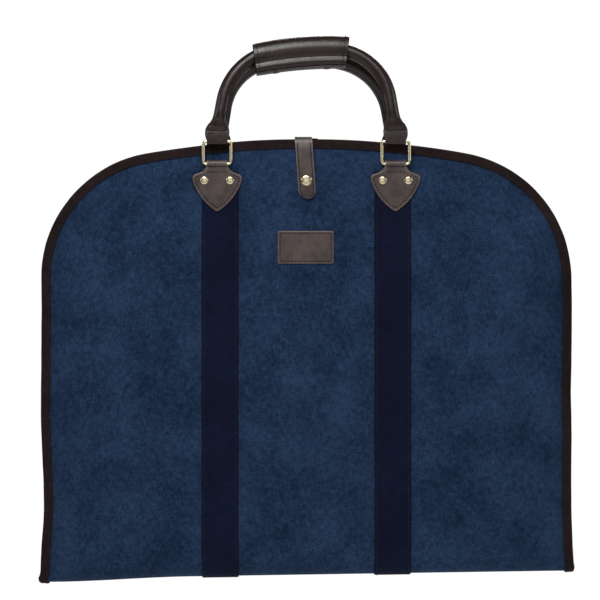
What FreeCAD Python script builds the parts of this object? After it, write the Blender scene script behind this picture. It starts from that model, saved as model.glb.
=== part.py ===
"""Folding garment bag with rolled leather handles, as a parametric FreeCAD document.

Frame (millimetres): +X to the right, +Z up, the front face towards -Y. The origin is the hanger
slot: the middle of the top edge of the front half, halfway through that half's depth. The bag is
folded shut. The rear half is the front half turned half a turn about the vertical line midway
between them, so each sub-part is modelled in the front half's place and then put in its own.
"""
import FreeCAD, Part
import math
import os
import Sketcher
from FreeCAD import Placement, Rotation, Vector

SIZES = [
    ("bag_width", 584.0, "overall width of the bag"),
    ("bag_drop", 482.0, "top edge down to the underside of the fold"),
    ("half_depth", 14.0, "depth of each half"),
    ("half_gap", 7.0, "space between the two halves"),
    ("dome_radius", 1000.0, "radius of the shallow dome along the top edge"),
    ("corner_radius", 140.0, "radius of the two top corners"),
    ("canvas", 1.2, "thickness of the canvas panels"),
    ("binding_width", 10.0, "width of the edge binding on each face"),
    ("binding_wall", 1.5, "thickness of the binding round the edge"),
    ("fold_gap", 0.5, "space between a half and the fold strip at their hinge"),
    ("slot_width", 24.0, "hanger slot along the top edge"),
    ("slot_depth", 6.0, "hanger slot across the top edge"),
    ("webbing_width", 40.0, "width of the webbing straps"),
    ("webbing_thickness", 1.3, "thickness of the webbing straps"),
    ("webbing_x", 95.0, "centre of a webbing strap from the middle of the bag"),
    ("webbing_top", 36.0, "top end of a webbing strap below the top edge"),
    ("leather", 2.0, "thickness of the chapes and of the tab"),
    ("chape_width", 54.7, "width across the shoulders of a chape"),
    ("chape_neck", 32.0, "width of the neck of a chape"),
    ("chape_shoulder", 40.0, "shoulders of a chape below the top edge"),
    ("chape_point", 80.0, "point of a chape below the top edge"),
    ("chape_side_radius", 60.0, "radius of the curved lower sides of a chape"),
    ("rivet_spacing", 28.3, "distance between the two rivets of a chape"),
    ("rivet_drop", 45.6, "rivets below the top edge"),
    ("rivet_head", 9.0, "diameter of a rivet head"),
    ("rivet_rise", 1.8, "height of a rivet head"),
    ("rivet_shank", 3.0, "diameter of a rivet shank"),
    ("ring_x", 98.0, "centre of a ring from the middle of the bag"),
    ("ring_width", 33.7, "outer width of a ring"),
    ("ring_pitch", 24.6, "centre of a ring's lower bar to that of its upper bar"),
    ("ring_wire", 3.4, "diameter of the ring wire"),
    ("ring_corner", 3.5, "bend radius of the ring wire, at its centre"),
    ("ring_drop", 27.4, "lower bar of a ring below the top edge"),
    ("ring_stand", 4.5, "centre of a ring's lower bar in front of the panel"),
    ("ring_play", 0.3, "clearance between the ring wire and the leather round it"),
    ("loop_width", 22.6, "width of the leather loops round the ring bars"),
    ("rear_ring_tilt", 45.0, "rear rings lean away from the bag, degrees"),
    ("front_handle_lean", 7.6, "front handle leans over the bag, degrees"),
    ("rear_handle_lean", 17.1, "rear handle leans over the bag, degrees"),
    ("handle_height", 103.5, "upper ring bar to the centre of the handle's top"),
    ("handle_tube", 15.5, "outer diameter of the rolled handle"),
    ("handle_bore", 11.5, "diameter inside the rolled leather"),
    ("handle_core_play", 0.2, "clearance round the rope core"),
    ("handle_core_setback", 9.0, "rope core ends this far short of the rolled leg"),
    ("handle_top_radius", 180.0, "radius of the top of the handle"),
    ("handle_shoulder_radius", 65.0, "radius of the shoulders of the handle"),
    ("handle_shoulder_x", 27.4, "centre of the shoulder arc from the handle's middle"),
    ("handle_leg_lean", 10.0, "legs of the handle spread, degrees"),
    ("handle_leg_length", 34.0, "straight leg of the handle"),
    ("handle_end_height", 20.0, "flat end of the handle above the ring bar"),
    ("handle_end_depth", 6.0, "thickness of the flat end of the handle"),
    ("wrap_length", 106.0, "length of the grip wrap along the handle"),
    ("wrap_offset", 6.0, "grip wrap sits this far left of the middle"),
    ("wrap_wall", 3.0, "thickness of the grip wrap"),
    ("wrap_play", 0.85, "clearance between the grip wrap and the front handle"),
    ("wrap_under_play", 2.6, "space inside the grip wrap below the rear handle"),
    ("wrap_back_play", 5.1, "space inside the grip wrap behind the rear handle"),
    ("wrap_under", 17.0, "depth of the grip wrap's bottom, under the front handle only"),
    ("flap_gap", 0.6, "space between the grip wrap and its closing flap"),
    ("flap_leather", 2.0, "thickness of the closing flap"),
    ("flap_margin", 1.5, "leather of the closing flap in front of its snap caps"),
    ("flap_drop", 1.9, "space under the grip wrap for its studs"),
    ("grip_snap_spacing", 60.0, "distance between the two snaps of the grip wrap"),
    ("grip_snap_setback", 7.0, "snaps from the back edge of the grip wrap's bottom"),
    ("grip_stud", 5.0, "diameter of the grip wrap's studs"),
    ("grip_stud_rise", 1.2, "height of the grip wrap's studs"),
    ("grip_cap", 10.0, "diameter of the grip wrap's snap caps"),
    ("grip_cap_rise", 1.5, "height of the grip wrap's snap caps"),
    ("tab_width", 19.0, "width of the snap tab"),
    ("tab_drop", 65.5, "end of the snap tab below the top edge"),
    ("tab_rise", 1.0, "snap tab above the top edge"),
    ("tab_stand", 1.5, "snap tab in front of the panel"),
    ("tab_hinge_set", 8.5, "fold of the snap tab behind the middle of the front half"),
    ("anchor_drop", 30.0, "sewn end of the snap tab below the top edge"),
    ("anchor_leather", 1.4, "thickness of the sewn end of the snap tab"),
    ("snap_drop", 45.5, "snap below the top edge"),
    ("snap_cap", 12.5, "diameter of the snap cap"),
    ("snap_cap_rise", 2.2, "height of the snap cap"),
    ("snap_socket", 10.0, "diameter of the snap socket"),
    ("snap_socket_rise", 0.9, "height of the snap socket"),
    ("snap_stud", 4.8, "diameter of the snap stud"),
    ("snap_stud_rise", 1.2, "height of the snap stud"),
    ("snap_play", 0.6, "clearance between stud and socket"),
    ("snap_eyelet", 9.0, "diameter of the stud's eyelet inside the bag"),
    ("eyelet_rise", 1.0, "height of rivet backs and of the stud's eyelet"),
    ("patch_width", 61.4, "width of the leather patch"),
    ("patch_height", 36.0, "height of the leather patch"),
    ("patch_leather", 1.6, "thickness of the leather patch"),
    ("patch_drop", 119.0, "centre of the leather patch below the top edge"),
    ("patch_corner", 2.0, "corner radius of the leather patch"),
    ("zip_opening", 13.0, "inner edge of an inner panel from the middle"),
    ("zip_margin", 40.0, "top of the zip below the top edge"),
    ("tape_thickness", 0.8, "thickness of the zip tapes"),
    ("tape_play", 0.3, "space between zip tape and inner panel"),
    ("teeth_half_gap", 0.7, "inner side of a row of zip teeth from the middle"),
    ("teeth_width", 2.5, "width of a row of zip teeth"),
    ("teeth_thickness", 2.0, "thickness of the zip teeth"),
    ("slider_width", 9.0, "width of the zip slider"),
    ("slider_length", 12.0, "length of the zip slider"),
    ("slider_plate", 1.0, "thickness of each plate of the zip slider"),
    ("slider_play", 0.3, "clearance between slider and teeth"),
    ("stop_height", 3.0, "height of the zip stops"),
    ("stop_gap", 2.0, "space between slider and top stops"),
    ("pull_width", 6.0, "width of the zip pull"),
    ("pull_length", 28.0, "length of the zip pull"),
    ("pull_plate", 1.0, "thickness of the zip pull"),
    ("pull_pin", 2.0, "diameter of the pin that carries the zip pull"),
]

doc = FreeCAD.newDocument("garment_bag")
sheet = doc.addObject("Spreadsheet::Sheet", "dim")
for row, (alias, number, meaning) in enumerate(SIZES, start=1):
    sheet.set(f"A{row}", meaning)
    sheet.set(f"B{row}", str(number))
    sheet.setAlias(f"B{row}", alias)
doc.recompute()

X_AXIS = Vector(1, 0, 0)
Y_AXIS = Vector(0, 1, 0)
Z_AXIS = Vector(0, 0, 1)

# Levels shared by many sub-parts, as expressions of the sheet.
HALF_WIDTH = "dim.bag_width / 2"
FACE = "dim.half_depth / 2"
FOLD_RADIUS = "(dim.half_depth + dim.half_gap / 2)"
FOLD_CENTRE = f"({FOLD_RADIUS} - dim.bag_drop)"
HINGE_REACH = f"({FOLD_RADIUS} * pi / 4)"
HINGE_Z = f"({FOLD_CENTRE} - {HINGE_REACH})"
HINGE_Y = f"({FACE} + dim.half_gap / 2 - {HINGE_REACH})"
OUTER_END = f"({HINGE_Z} + dim.fold_gap)"
FOLD_TOP = "(dim.half_depth - dim.bag_drop)"
INNER_END = f"({FOLD_TOP} + 2 * dim.fold_gap)"
RING_Y = f"(-{FACE} - dim.ring_stand)"
LOOP_BORE = "(dim.ring_wire / 2 + dim.ring_play)"
CHAPE_BACK = f"(-{FACE} - dim.webbing_thickness)"
CHAPE_FRONT = f"({CHAPE_BACK} - dim.leather)"
TAPE_MIDDLE = f"({FACE} - dim.canvas / 2)"
TAPE_NEAR = "(dim.teeth_half_gap + dim.teeth_width)"
TAPE_FAR = "(dim.zip_opening - dim.tape_play)"
ZIP_TOP = "-dim.zip_margin"
SIDES = {"left": -1, "right": 1}
FACING = {"front": 1, "rear": -1}

parts = {}


def size(expression):
    """Value of an expression of the sheet, in millimetres or degrees."""
    return float(sheet.evalExpression(expression))


def rear_placement():
    """Half a turn about the vertical line midway between the two halves."""
    middle = size(f"{FACE} + dim.half_gap / 2")
    return Placement(Vector(0, 2 * middle, 0), Rotation(Z_AXIS, 180))


def place(name, half, obj, local=None):
    """Label a finished sub-part and put it in the front or the rear half."""
    local = local or Placement()
    obj.Label = name
    obj.Placement = rear_placement().multiply(local) if half == "rear" else local
    parts[name] = obj


def new_body(name):
    """PartDesign body for one sub-part."""
    return doc.addObject("PartDesign::Body", name + "_body")


def origin_feature(body, role):
    """One of the planes or axes of a body's own origin."""
    return [feature for feature in body.Origin.OriginFeatures if feature.Role == role][0]


def new_sketch(body, role, offset):
    """Empty sketch on an origin plane, moved along the plane's normal by an expression."""
    sketch = body.newObject("Sketcher::SketchObject", "outline")
    sketch.AttachmentSupport = [(origin_feature(body, role), "")]
    sketch.MapMode = "FlatFace"
    sketch.AttachmentOffset = Placement(Vector(0, 0, size(offset)), Rotation())
    sketch.setExpression(".AttachmentOffset.Base.z", offset)
    return sketch


def bind_point(sketch, geometry, point, across, up):
    """Tie one point of a sketch to two expressions, measured from the sketch's origin."""
    for kind, expression in (("DistanceX", across), ("DistanceY", up)):
        constraint = Sketcher.Constraint(kind, -1, 1, geometry, point, size(expression))
        index = sketch.addConstraint(constraint)
        sketch.setExpression(f"Constraints[{index}]", expression)


def bind_radius(sketch, geometry, expression):
    """Tie the radius of an arc or a circle to an expression."""
    index = sketch.addConstraint(Sketcher.Constraint("Radius", geometry, size(expression)))
    sketch.setExpression(f"Constraints[{index}]", expression)


def arc_between(start, end, radius, turn):
    """Arc from start to end; turn is 1 for anticlockwise, -1 for clockwise."""
    chord = end - start
    rise = math.sqrt(max(radius ** 2 - (chord.Length / 2) ** 2, 0.0))
    normal = Vector(-chord.y, chord.x, 0).normalize()
    centre = (start + end) * 0.5 + normal * rise * turn
    first, last = (start, end) if turn > 0 else (end, start)
    low = math.atan2(first.y - centre.y, first.x - centre.x)
    high = math.atan2(last.y - centre.y, last.x - centre.x)
    if high < low:
        high += 2 * math.pi
    return Part.ArcOfCircle(Part.Circle(centre, Z_AXIS, radius), low, high)


def draw(sketch, corners, closed=True):
    """Draw lines and arcs through corners of (across, up) or (across, up, radius, turn).

    A corner with a radius starts an arc that reaches to the next corner.
    """
    points = [Vector(size(corner[0]), size(corner[1]), 0) for corner in corners]
    count = len(corners) if closed else len(corners) - 1
    ends = []
    for i in range(count):
        start, end = points[i], points[(i + 1) % len(points)]
        if len(corners[i]) == 2:
            geometry = sketch.addGeometry(Part.LineSegment(start, end))
            ends.append((geometry, 1, 2))
        else:
            radius, turn = corners[i][2], corners[i][3]
            geometry = sketch.addGeometry(arc_between(start, end, size(radius), turn))
            ends.append((geometry, 1, 2) if turn > 0 else (geometry, 2, 1))
    for i in range(count - 1 + closed):
        this, following = ends[i], ends[(i + 1) % count]
        sketch.addConstraint(
            Sketcher.Constraint("Coincident", this[0], this[2], following[0], following[1]))
    for i in range(count):
        bind_point(sketch, ends[i][0], ends[i][1], corners[i][0], corners[i][1])
        if len(corners[i]) == 4:
            bind_radius(sketch, ends[i][0], corners[i][2])
    if not closed:
        bind_point(sketch, ends[-1][0], ends[-1][2], corners[-1][0], corners[-1][1])


def draw_circles(sketch, centres, radius):
    """Draw equal circles about (across, up) centres."""
    for across, up in centres:
        circle = Part.Circle(Vector(size(across), size(up), 0), Z_AXIS, size(radius))
        geometry = sketch.addGeometry(circle)
        bind_point(sketch, geometry, 3, across, up)
        bind_radius(sketch, geometry, radius)


def extrude(body, sketch, length, reverse, kind="PartDesign::Pad"):
    """Pad or pocket a sketch by an expression."""
    feature = body.newObject(kind, "solid")
    feature.Profile = sketch
    feature.Length = size(length)
    feature.setExpression("Length", length)
    feature.Reversed = reverse
    body.Tip = feature
    return feature


def slab(body, corners, front, depth):
    """Pad an outline seen from the front, from the plane y = front back by depth."""
    sketch = new_sketch(body, "XZ_Plane", f"-({front})")
    draw(sketch, corners)
    return extrude(body, sketch, depth, True)


def slab_cut(body, corners, front, depth):
    """Pocket an outline seen from the front, from the plane y = front back by depth."""
    sketch = new_sketch(body, "XZ_Plane", f"-({front})")
    draw(sketch, corners)
    return extrude(body, sketch, depth, False, "PartDesign::Pocket")


def drill(body, centres, radius, front, depth):
    """Round holes seen from the front, from the plane y = front back by depth."""
    sketch = new_sketch(body, "XZ_Plane", f"-({front})")
    draw_circles(sketch, centres, radius)
    return extrude(body, sketch, depth, False, "PartDesign::Pocket")


def boss(body, centre, radius, front, depth):
    """Round boss along Y, from the plane y = front back by depth."""
    sketch = new_sketch(body, "XZ_Plane", f"-({front})")
    draw_circles(sketch, [centre], radius)
    return extrude(body, sketch, depth, True)


def side_slab(body, corners, width):
    """Pad an outline drawn in the YZ plane, centred on x = 0."""
    sketch = new_sketch(body, "YZ_Plane", f"-({width}) / 2")
    draw(sketch, corners)
    return extrude(body, sketch, width, False)


def rectangle(left, bottom, right, top):
    """Corners of a rectangle, anticlockwise."""
    return [(left, bottom), (right, bottom), (right, top), (left, top)]


def span(sign, near, far):
    """Left and right ends of a span that lies on one side of the middle."""
    return (near, far) if sign > 0 else (f"-({far})", f"-({near})")


def arch(inset, bottom):
    """Outline of a half seen from the front, set in by an expression."""
    corner = f"(dim.corner_radius - ({inset}))"
    dome = f"(dim.dome_radius - ({inset}))"
    side = f"({HALF_WIDTH} - ({inset}))"
    centre_x = f"({HALF_WIDTH} - dim.corner_radius)"
    reach = "(dim.dome_radius - dim.corner_radius)"
    drop = f"sqrt({reach}^2 - {centre_x}^2)"
    centre_z = f"({drop} - dim.dome_radius)"
    join_x = f"({dome} * {centre_x} / {reach})"
    join_z = f"({dome} * {drop} / {reach} - dim.dome_radius)"
    return [
        (f"-{side}", bottom),
        (side, bottom),
        (side, centre_z, corner, 1),
        (join_x, join_z, dome, 1),
        (f"-{join_x}", join_z, corner, 1),
        (f"-{side}", centre_z),
    ]


def group(name, half, members):
    """Several separate solids as one node."""
    compound = doc.addObject("Part::Compound", name + "_group")
    compound.Links = members
    place(name, half, compound)


def place_existing(name, solid):
    """Name a solid that already stands where it belongs."""
    solid.Label = name
    parts[name] = solid


def box(left, front, bottom, right, back, top):
    """Plain box between two corners given as expressions."""
    solid = doc.addObject("Part::Box", "block")
    solid.setExpression("Length", f"({right}) - ({left})")
    solid.setExpression("Width", f"({back}) - ({front})")
    solid.setExpression("Height", f"({top}) - ({bottom})")
    solid.setExpression(".Placement.Base.x", left)
    solid.setExpression(".Placement.Base.y", front)
    solid.setExpression(".Placement.Base.z", bottom)
    return solid


def cylinder_y(diameter, front, depth, across, up):
    """Plain cylinder along Y that starts at the plane y = front."""
    solid = doc.addObject("Part::Cylinder", "round")
    solid.setExpression("Radius", f"({diameter}) / 2")
    solid.setExpression("Height", depth)
    centre = Vector(size(across), size(front), size(up))
    solid.Placement = Placement(centre, Rotation(X_AXIS, -90))
    return solid


def dome_head(diameter, back, rise, across, up):
    """Low rounded head that stands forward from the plane y = back."""
    cone = doc.addObject("Part::Cone", "head")
    cone.setExpression("Radius1", f"({diameter}) / 2")
    cone.setExpression("Radius2", f"({diameter}) / 3")
    cone.setExpression("Height", rise)
    centre = Vector(size(across), size(back), size(up))
    cone.Placement = Placement(centre, Rotation(X_AXIS, 90))
    return cone


def fused(first, second):
    """Union of two solids."""
    union = doc.addObject("Part::Fuse", "union")
    union.Base = first
    union.Tool = second
    return union


def rivet_centres():
    """Centres of the four rivets of a half, seen from the front."""
    centres = []
    for side in SIDES.values():
        for step in (-1, 1):
            centres.append((f"{side} * dim.ring_x + {step} * dim.rivet_spacing / 2", "-dim.rivet_drop"))
    return centres


# ---------------------------------------------------------------- the two halves

def outer_panel(half):
    """Canvas panel on the outside of a half, inside the binding, down to the fold."""
    body = new_body("outer_panel")
    slab(body, arch("dim.binding_width", OUTER_END), f"-{FACE}", "dim.canvas")
    drill(body, rivet_centres(), "dim.rivet_shank / 2", f"-{FACE}", "dim.canvas")
    if half == "front":
        drill(body, [("0", "-dim.snap_drop")], "dim.snap_stud / 4", f"-{FACE}", "dim.canvas")
    place(f"{half}_outer_panel", half, body)


def inner_panel(half, side):
    """Canvas flap on the inside of a half, from the binding to the zip."""
    body = new_body("inner_panel")
    back = f"({FACE} - dim.canvas)"
    slab(body, arch("dim.binding_width", INNER_END), back, "dim.canvas")
    sign = SIDES[side] * FACING[half]
    other_side = span(-sign, "0", "dim.bag_width")
    zip_side = span(sign, "0", "dim.zip_opening")
    below = "-2 * dim.bag_drop"
    slab_cut(body, rectangle(other_side[0], below, other_side[1], "dim.bag_drop"), back, "dim.canvas")
    slab_cut(body, rectangle(zip_side[0], below, zip_side[1], ZIP_TOP), back, "dim.canvas")
    place(f"{half}_inner_panel_{side}", half, body)


def edge_binding(half):
    """Channel that runs up one side, round the top and down the other side of a half."""
    body = new_body("edge_binding")
    below = "-2 * dim.bag_drop"
    slab(body, arch("0", INNER_END), f"-{FACE}", "dim.half_depth")
    flange = f"({HALF_WIDTH} - dim.binding_width)"
    slab(body, rectangle(f"-{HALF_WIDTH}", OUTER_END, f"-{flange}", INNER_END), f"-{FACE}", "dim.canvas")
    slab(body, rectangle(flange, OUTER_END, HALF_WIDTH, INNER_END), f"-{FACE}", "dim.canvas")
    slab_cut(body, arch("dim.binding_width", below), f"-{FACE}", "dim.half_depth")
    slab_cut(body, arch("dim.binding_wall", f"{INNER_END} - dim.canvas"), f"dim.canvas - {FACE}",
             "dim.half_depth - 2 * dim.canvas")
    if half == "front":
        slot = rectangle("-dim.slot_width / 2", "-dim.binding_width / 2", "dim.slot_width / 2",
                         "dim.binding_width / 2")
        slab_cut(body, slot, "-dim.slot_depth / 2", "dim.slot_depth")
    place(f"{half}_edge_binding", half, body)


def webbing(half, side):
    """Webbing strap on the outer panel, from under a chape down to the fold."""
    body = new_body("webbing")
    sign = SIDES[side] * FACING[half]
    centre = f"{sign} * dim.webbing_x"
    strap = rectangle(f"{centre} - dim.webbing_width / 2", OUTER_END,
                      f"{centre} + dim.webbing_width / 2", "-dim.webbing_top")
    slab(body, strap, CHAPE_BACK, "dim.webbing_thickness")
    holes = rivet_centres()[:2] if sign < 0 else rivet_centres()[2:]
    drill(body, holes, "dim.rivet_shank / 2", CHAPE_BACK, "dim.webbing_thickness")
    place(f"{half}_webbing_{side}", half, body)


def chape(half, side):
    """Leather shield whose neck loops round the lower bar of a ring."""
    body = new_body("chape")
    sign = SIDES[side] * FACING[half]
    centre = f"{sign} * dim.ring_x"
    shoulder = "-dim.chape_shoulder"
    hip = "-dim.chape_shoulder - dim.chape_neck / 8"
    neck_base = "-dim.chape_shoulder + dim.chape_neck / 8"
    shield = [
        (centre, "-dim.chape_point", "dim.chape_side_radius", 1),
        (f"{centre} + dim.chape_width / 2", hip),
        (f"{centre} + dim.chape_width / 2", shoulder),
        (f"{centre} + dim.chape_neck / 2", neck_base),
        (f"{centre} + dim.loop_width / 2", "-dim.ring_drop - dim.ring_wire"),
        (f"{centre} + dim.loop_width / 2", "-dim.ring_drop"),
        (f"{centre} - dim.loop_width / 2", "-dim.ring_drop"),
        (f"{centre} - dim.loop_width / 2", "-dim.ring_drop - dim.ring_wire"),
        (f"{centre} - dim.chape_neck / 2", neck_base),
        (f"{centre} - dim.chape_width / 2", shoulder),
        (f"{centre} - dim.chape_width / 2", hip, "dim.chape_side_radius", 1),
    ]
    slab(body, shield, CHAPE_FRONT, "dim.leather")
    axis = [(RING_Y, "-dim.ring_drop")]
    start = f"{centre} - dim.loop_width / 2"
    loop = new_sketch(body, "YZ_Plane", start)
    draw_circles(loop, axis, f"{LOOP_BORE} + dim.leather")
    extrude(body, loop, "dim.loop_width", False)
    bore = new_sketch(body, "YZ_Plane", start)
    draw_circles(bore, axis, LOOP_BORE)
    extrude(body, bore, "dim.loop_width", True, "PartDesign::Pocket")
    holes = rivet_centres()[:2] if sign < 0 else rivet_centres()[2:]
    drill(body, holes, "dim.rivet_shank / 2", CHAPE_FRONT, "dim.leather")
    place(f"{half}_chape_{side}", half, body)


def rivets(half):
    """Four rivet heads with their shanks, and the four backs inside the bag."""
    heads, backs = [], []
    shank_end = f"(dim.canvas - {FACE})"
    for across, up in rivet_centres():
        head = dome_head("dim.rivet_head", CHAPE_FRONT, "dim.rivet_rise", across, up)
        shank = cylinder_y("dim.rivet_shank", CHAPE_FRONT, f"{shank_end} - {CHAPE_FRONT}", across, up)
        heads.append(fused(head, shank))
        backs.append(cylinder_y("dim.rivet_head", shank_end, "dim.eyelet_rise", across, up))
    group(f"{half}_rivet_caps", half, heads)
    group(f"{half}_rivet_backs", half, backs)


def zip_tapes(half):
    """Two zip tapes that close the gap between the inner panels."""
    tapes = []
    front = f"{TAPE_MIDDLE} - dim.tape_thickness / 2"
    back = f"{TAPE_MIDDLE} + dim.tape_thickness / 2"
    for sign in SIDES.values():
        left, right = span(sign, TAPE_NEAR, TAPE_FAR)
        tapes.append(box(left, front, INNER_END, right, back, ZIP_TOP))
    group(f"{half}_zip_tapes", half, tapes)


def tooth_rows(bottom, top, low, high):
    """Two rows of zip teeth between two heights and two depths."""
    rows = []
    for sign in SIDES.values():
        left, right = span(sign, "dim.teeth_half_gap", TAPE_NEAR)
        rows.append(box(left, low, bottom, right, high, top))
    return rows


def zip_teeth(half):
    """Rows of zip teeth on the inner face of a half."""
    low = f"{TAPE_MIDDLE} - dim.teeth_thickness / 2"
    high = f"{TAPE_MIDDLE} + dim.teeth_thickness / 2"
    rows = tooth_rows(INNER_END, f"{ZIP_TOP} - dim.stop_height", low, high)
    group(f"{half}_zip_teeth", half, rows)


def zip_stops(name, half):
    """Pair of stops at one end of the zip."""
    bottom = f"({ZIP_TOP} - dim.stop_height)"
    low = f"{TAPE_MIDDLE} - dim.teeth_thickness / 2 - dim.slider_plate"
    high = f"{TAPE_MIDDLE} + dim.teeth_thickness / 2 + dim.slider_plate"
    group(name, half, tooth_rows(bottom, ZIP_TOP, low, high))


def label_patch():
    """Blank leather patch sewn on the front panel, with rounded corners."""
    body = new_body("label_patch")
    half_width = "dim.patch_width / 2"
    high = "(dim.patch_height / 2 - dim.patch_drop)"
    low = "(-dim.patch_height / 2 - dim.patch_drop)"
    round_off = "dim.patch_corner"
    corners = [
        (f"{round_off} - {half_width}", low),
        (f"{half_width} - {round_off}", low, round_off, 1),
        (half_width, f"{low} + {round_off}"),
        (half_width, f"{high} - {round_off}", round_off, 1),
        (f"{half_width} - {round_off}", high),
        (f"{round_off} - {half_width}", high, round_off, 1),
        (f"-{half_width}", f"{high} - {round_off}"),
        (f"-{half_width}", f"{low} + {round_off}", round_off, 1),
    ]
    slab(body, corners, f"-{FACE} - dim.patch_leather", "dim.patch_leather")
    place("label_patch", "front", body)


# ---------------------------------------------------------------- the fold

def fold_strip(left, right, bottom, top):
    """Flat strip of the fold, across the bag between the two hinges."""
    middle = f"({FACE} + dim.half_gap / 2)"
    reach = f"({HINGE_REACH} - dim.fold_gap)"
    return box(left, f"{middle} - {reach}", bottom, right, f"{middle} + {reach}", top)


def fold():
    """Narrow strips that carry panels, webbing, binding and zip round the fold."""
    base = "-dim.bag_drop"
    inner = f"({FOLD_TOP} - dim.canvas)"
    edge = f"({HALF_WIDTH} - dim.binding_width)"
    outer_strip = fold_strip(f"-{edge}", edge, base, f"{base} + dim.canvas")
    place_existing("fold_outer_panel", outer_strip)
    tape_middle = f"({FOLD_TOP} - dim.canvas / 2)"
    tape_low = f"{tape_middle} - dim.tape_thickness / 2"
    tape_high = f"{tape_middle} + dim.tape_thickness / 2"
    strap_near = "dim.webbing_x - dim.webbing_width / 2"
    strap_far = "dim.webbing_x + dim.webbing_width / 2"
    inner_strips, bindings, straps, tapes = [], [], [], []
    for sign in SIDES.values():
        binding = span(sign, edge, HALF_WIDTH)
        strap = span(sign, strap_near, strap_far)
        inner_strips.append(fold_strip(*span(sign, "dim.zip_opening", edge), inner, FOLD_TOP))
        bindings.append(fold_strip(*binding, base, f"{base} + dim.canvas"))
        bindings.append(fold_strip(*binding, inner, FOLD_TOP))
        straps.append(fold_strip(*strap, f"{base} - dim.webbing_thickness", base))
        tapes.append(fold_strip(*span(sign, TAPE_NEAR, TAPE_FAR), tape_low, tape_high))
    group("fold_inner_panels", "front", inner_strips)
    group("fold_bindings", "front", bindings)
    group("fold_webbings", "front", straps)
    group("fold_zip_tapes", "front", tapes)
    fold_teeth()


def fold_teeth():
    """Rows of zip teeth that run on round the fold."""
    middle = f"({FOLD_TOP} - dim.canvas / 2)"
    rows = []
    for sign in SIDES.values():
        left, right = span(sign, "dim.teeth_half_gap", TAPE_NEAR)
        rows.append(fold_strip(left, right, f"{middle} - dim.teeth_thickness / 2",
                               f"{middle} + dim.teeth_thickness / 2"))
    group("fold_zip_teeth", "front", rows)


# ---------------------------------------------------------------- snap tab

def snap_tab_strap():
    """Leather tab that comes over the top edge and hangs down the front."""
    body = new_body("snap_tab_strap")
    back = f"(-{FACE} - dim.tab_stand)"
    front = f"({back} - dim.leather)"
    low, high = "dim.tab_rise", "(dim.tab_rise + dim.leather)"
    bridge = [
        (front, low),
        ("dim.tab_hinge_set", low),
        ("dim.tab_hinge_set", high),
        (front, high),
    ]
    side_slab(body, bridge, "dim.tab_width")
    half_width = "dim.tab_width / 2"
    round_centre = "(dim.tab_width / 2 - dim.tab_drop)"
    leg = [
        (f"-{half_width}", round_centre, half_width, 1),
        ("0", "-dim.tab_drop", half_width, 1),
        (half_width, round_centre),
        (half_width, high),
        (f"-{half_width}", high),
    ]
    slab(body, leg, front, "dim.leather")
    place("snap_tab_strap", "front", body)


def snap_tab_anchor():
    """Sewn end of the tab, on the inner side of the front half."""
    body = new_body("snap_tab_anchor")
    half_width = "dim.tab_width / 2"
    plate = rectangle(f"-{half_width}", "-dim.anchor_drop", half_width, "-dim.anchor_leather")
    slab(body, plate, FACE, "dim.anchor_leather")
    place("snap_tab_anchor", "front", body)


def snap():
    """Cap and socket on the tab, stud and eyelet on the front panel."""
    up = "-dim.snap_drop"
    strap_back = f"(-{FACE} - dim.tab_stand)"
    cap = dome_head("dim.snap_cap", f"{strap_back} - dim.leather", "dim.snap_cap_rise", "0", up)
    place_existing("snap_cap", cap)
    body = new_body("snap_socket")
    boss(body, ("0", up), "dim.snap_socket / 2", strap_back, "dim.snap_socket_rise")
    drill(body, [("0", up)], "dim.snap_stud / 2 + dim.snap_play", strap_back, "dim.snap_socket_rise")
    place("snap_socket", "front", body)
    stud = cylinder_y("dim.snap_stud", f"-{FACE} - dim.snap_stud_rise", "dim.snap_stud_rise", "0", up)
    shank = cylinder_y("dim.snap_stud / 2", f"-{FACE} - dim.snap_stud_rise / 2",
                       "dim.snap_stud_rise / 2 + dim.canvas", "0", up)
    place_existing("snap_stud", fused(stud, shank))
    eyelet = cylinder_y("dim.snap_eyelet", f"dim.canvas - {FACE}", "dim.eyelet_rise", "0", up)
    place_existing("snap_stud_eyelet", eyelet)


# ---------------------------------------------------------------- rings and handles

def ring(half, side):
    """Rectangular wire ring on a chape, with its lower bar on the ring's own origin."""
    body = new_body("ring")
    reach = "(dim.ring_width / 2 - dim.ring_wire / 2)"
    bend = "dim.ring_corner"
    path = new_sketch(body, "XZ_Plane", "0")
    draw(path, [
        ("0", "0"),
        (f"{reach} - {bend}", "0", bend, 1),
        (reach, bend),
        (reach, f"dim.ring_pitch - {bend}", bend, 1),
        (f"{reach} - {bend}", "dim.ring_pitch"),
        ("0", "dim.ring_pitch"),
    ], closed=False)
    wire = new_sketch(body, "YZ_Plane", "0")
    draw_circles(wire, [("0", "0")], "dim.ring_wire / 2")
    swept_half(body, wire, path, 5)
    tilt = size("dim.rear_ring_tilt") if half == "rear" else 0.0
    sign = SIDES[side] * FACING[half]
    pivot = Vector(sign * size("dim.ring_x"), size(RING_Y), -size("dim.ring_drop"))
    place(f"{half}_ring_{side}", half, body, Placement(pivot, Rotation(X_AXIS, tilt)))


def swept_half(body, section, path, edge_count):
    """Sweep a section along one half of a path and mirror it about x = 0."""
    pipe = body.newObject("PartDesign::AdditivePipe", "swept")
    pipe.Profile = section
    pipe.Spine = (path, [f"Edge{i + 1}" for i in range(edge_count)])
    body.Tip = pipe
    mirrored(body, [pipe])


def mirrored(body, originals):
    """Mirror features about x = 0."""
    mirror = body.newObject("PartDesign::Mirrored", "mirror")
    mirror.Originals = originals
    mirror.MirrorPlane = (origin_feature(body, "YZ_Plane"), [""])
    body.Tip = mirror


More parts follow.
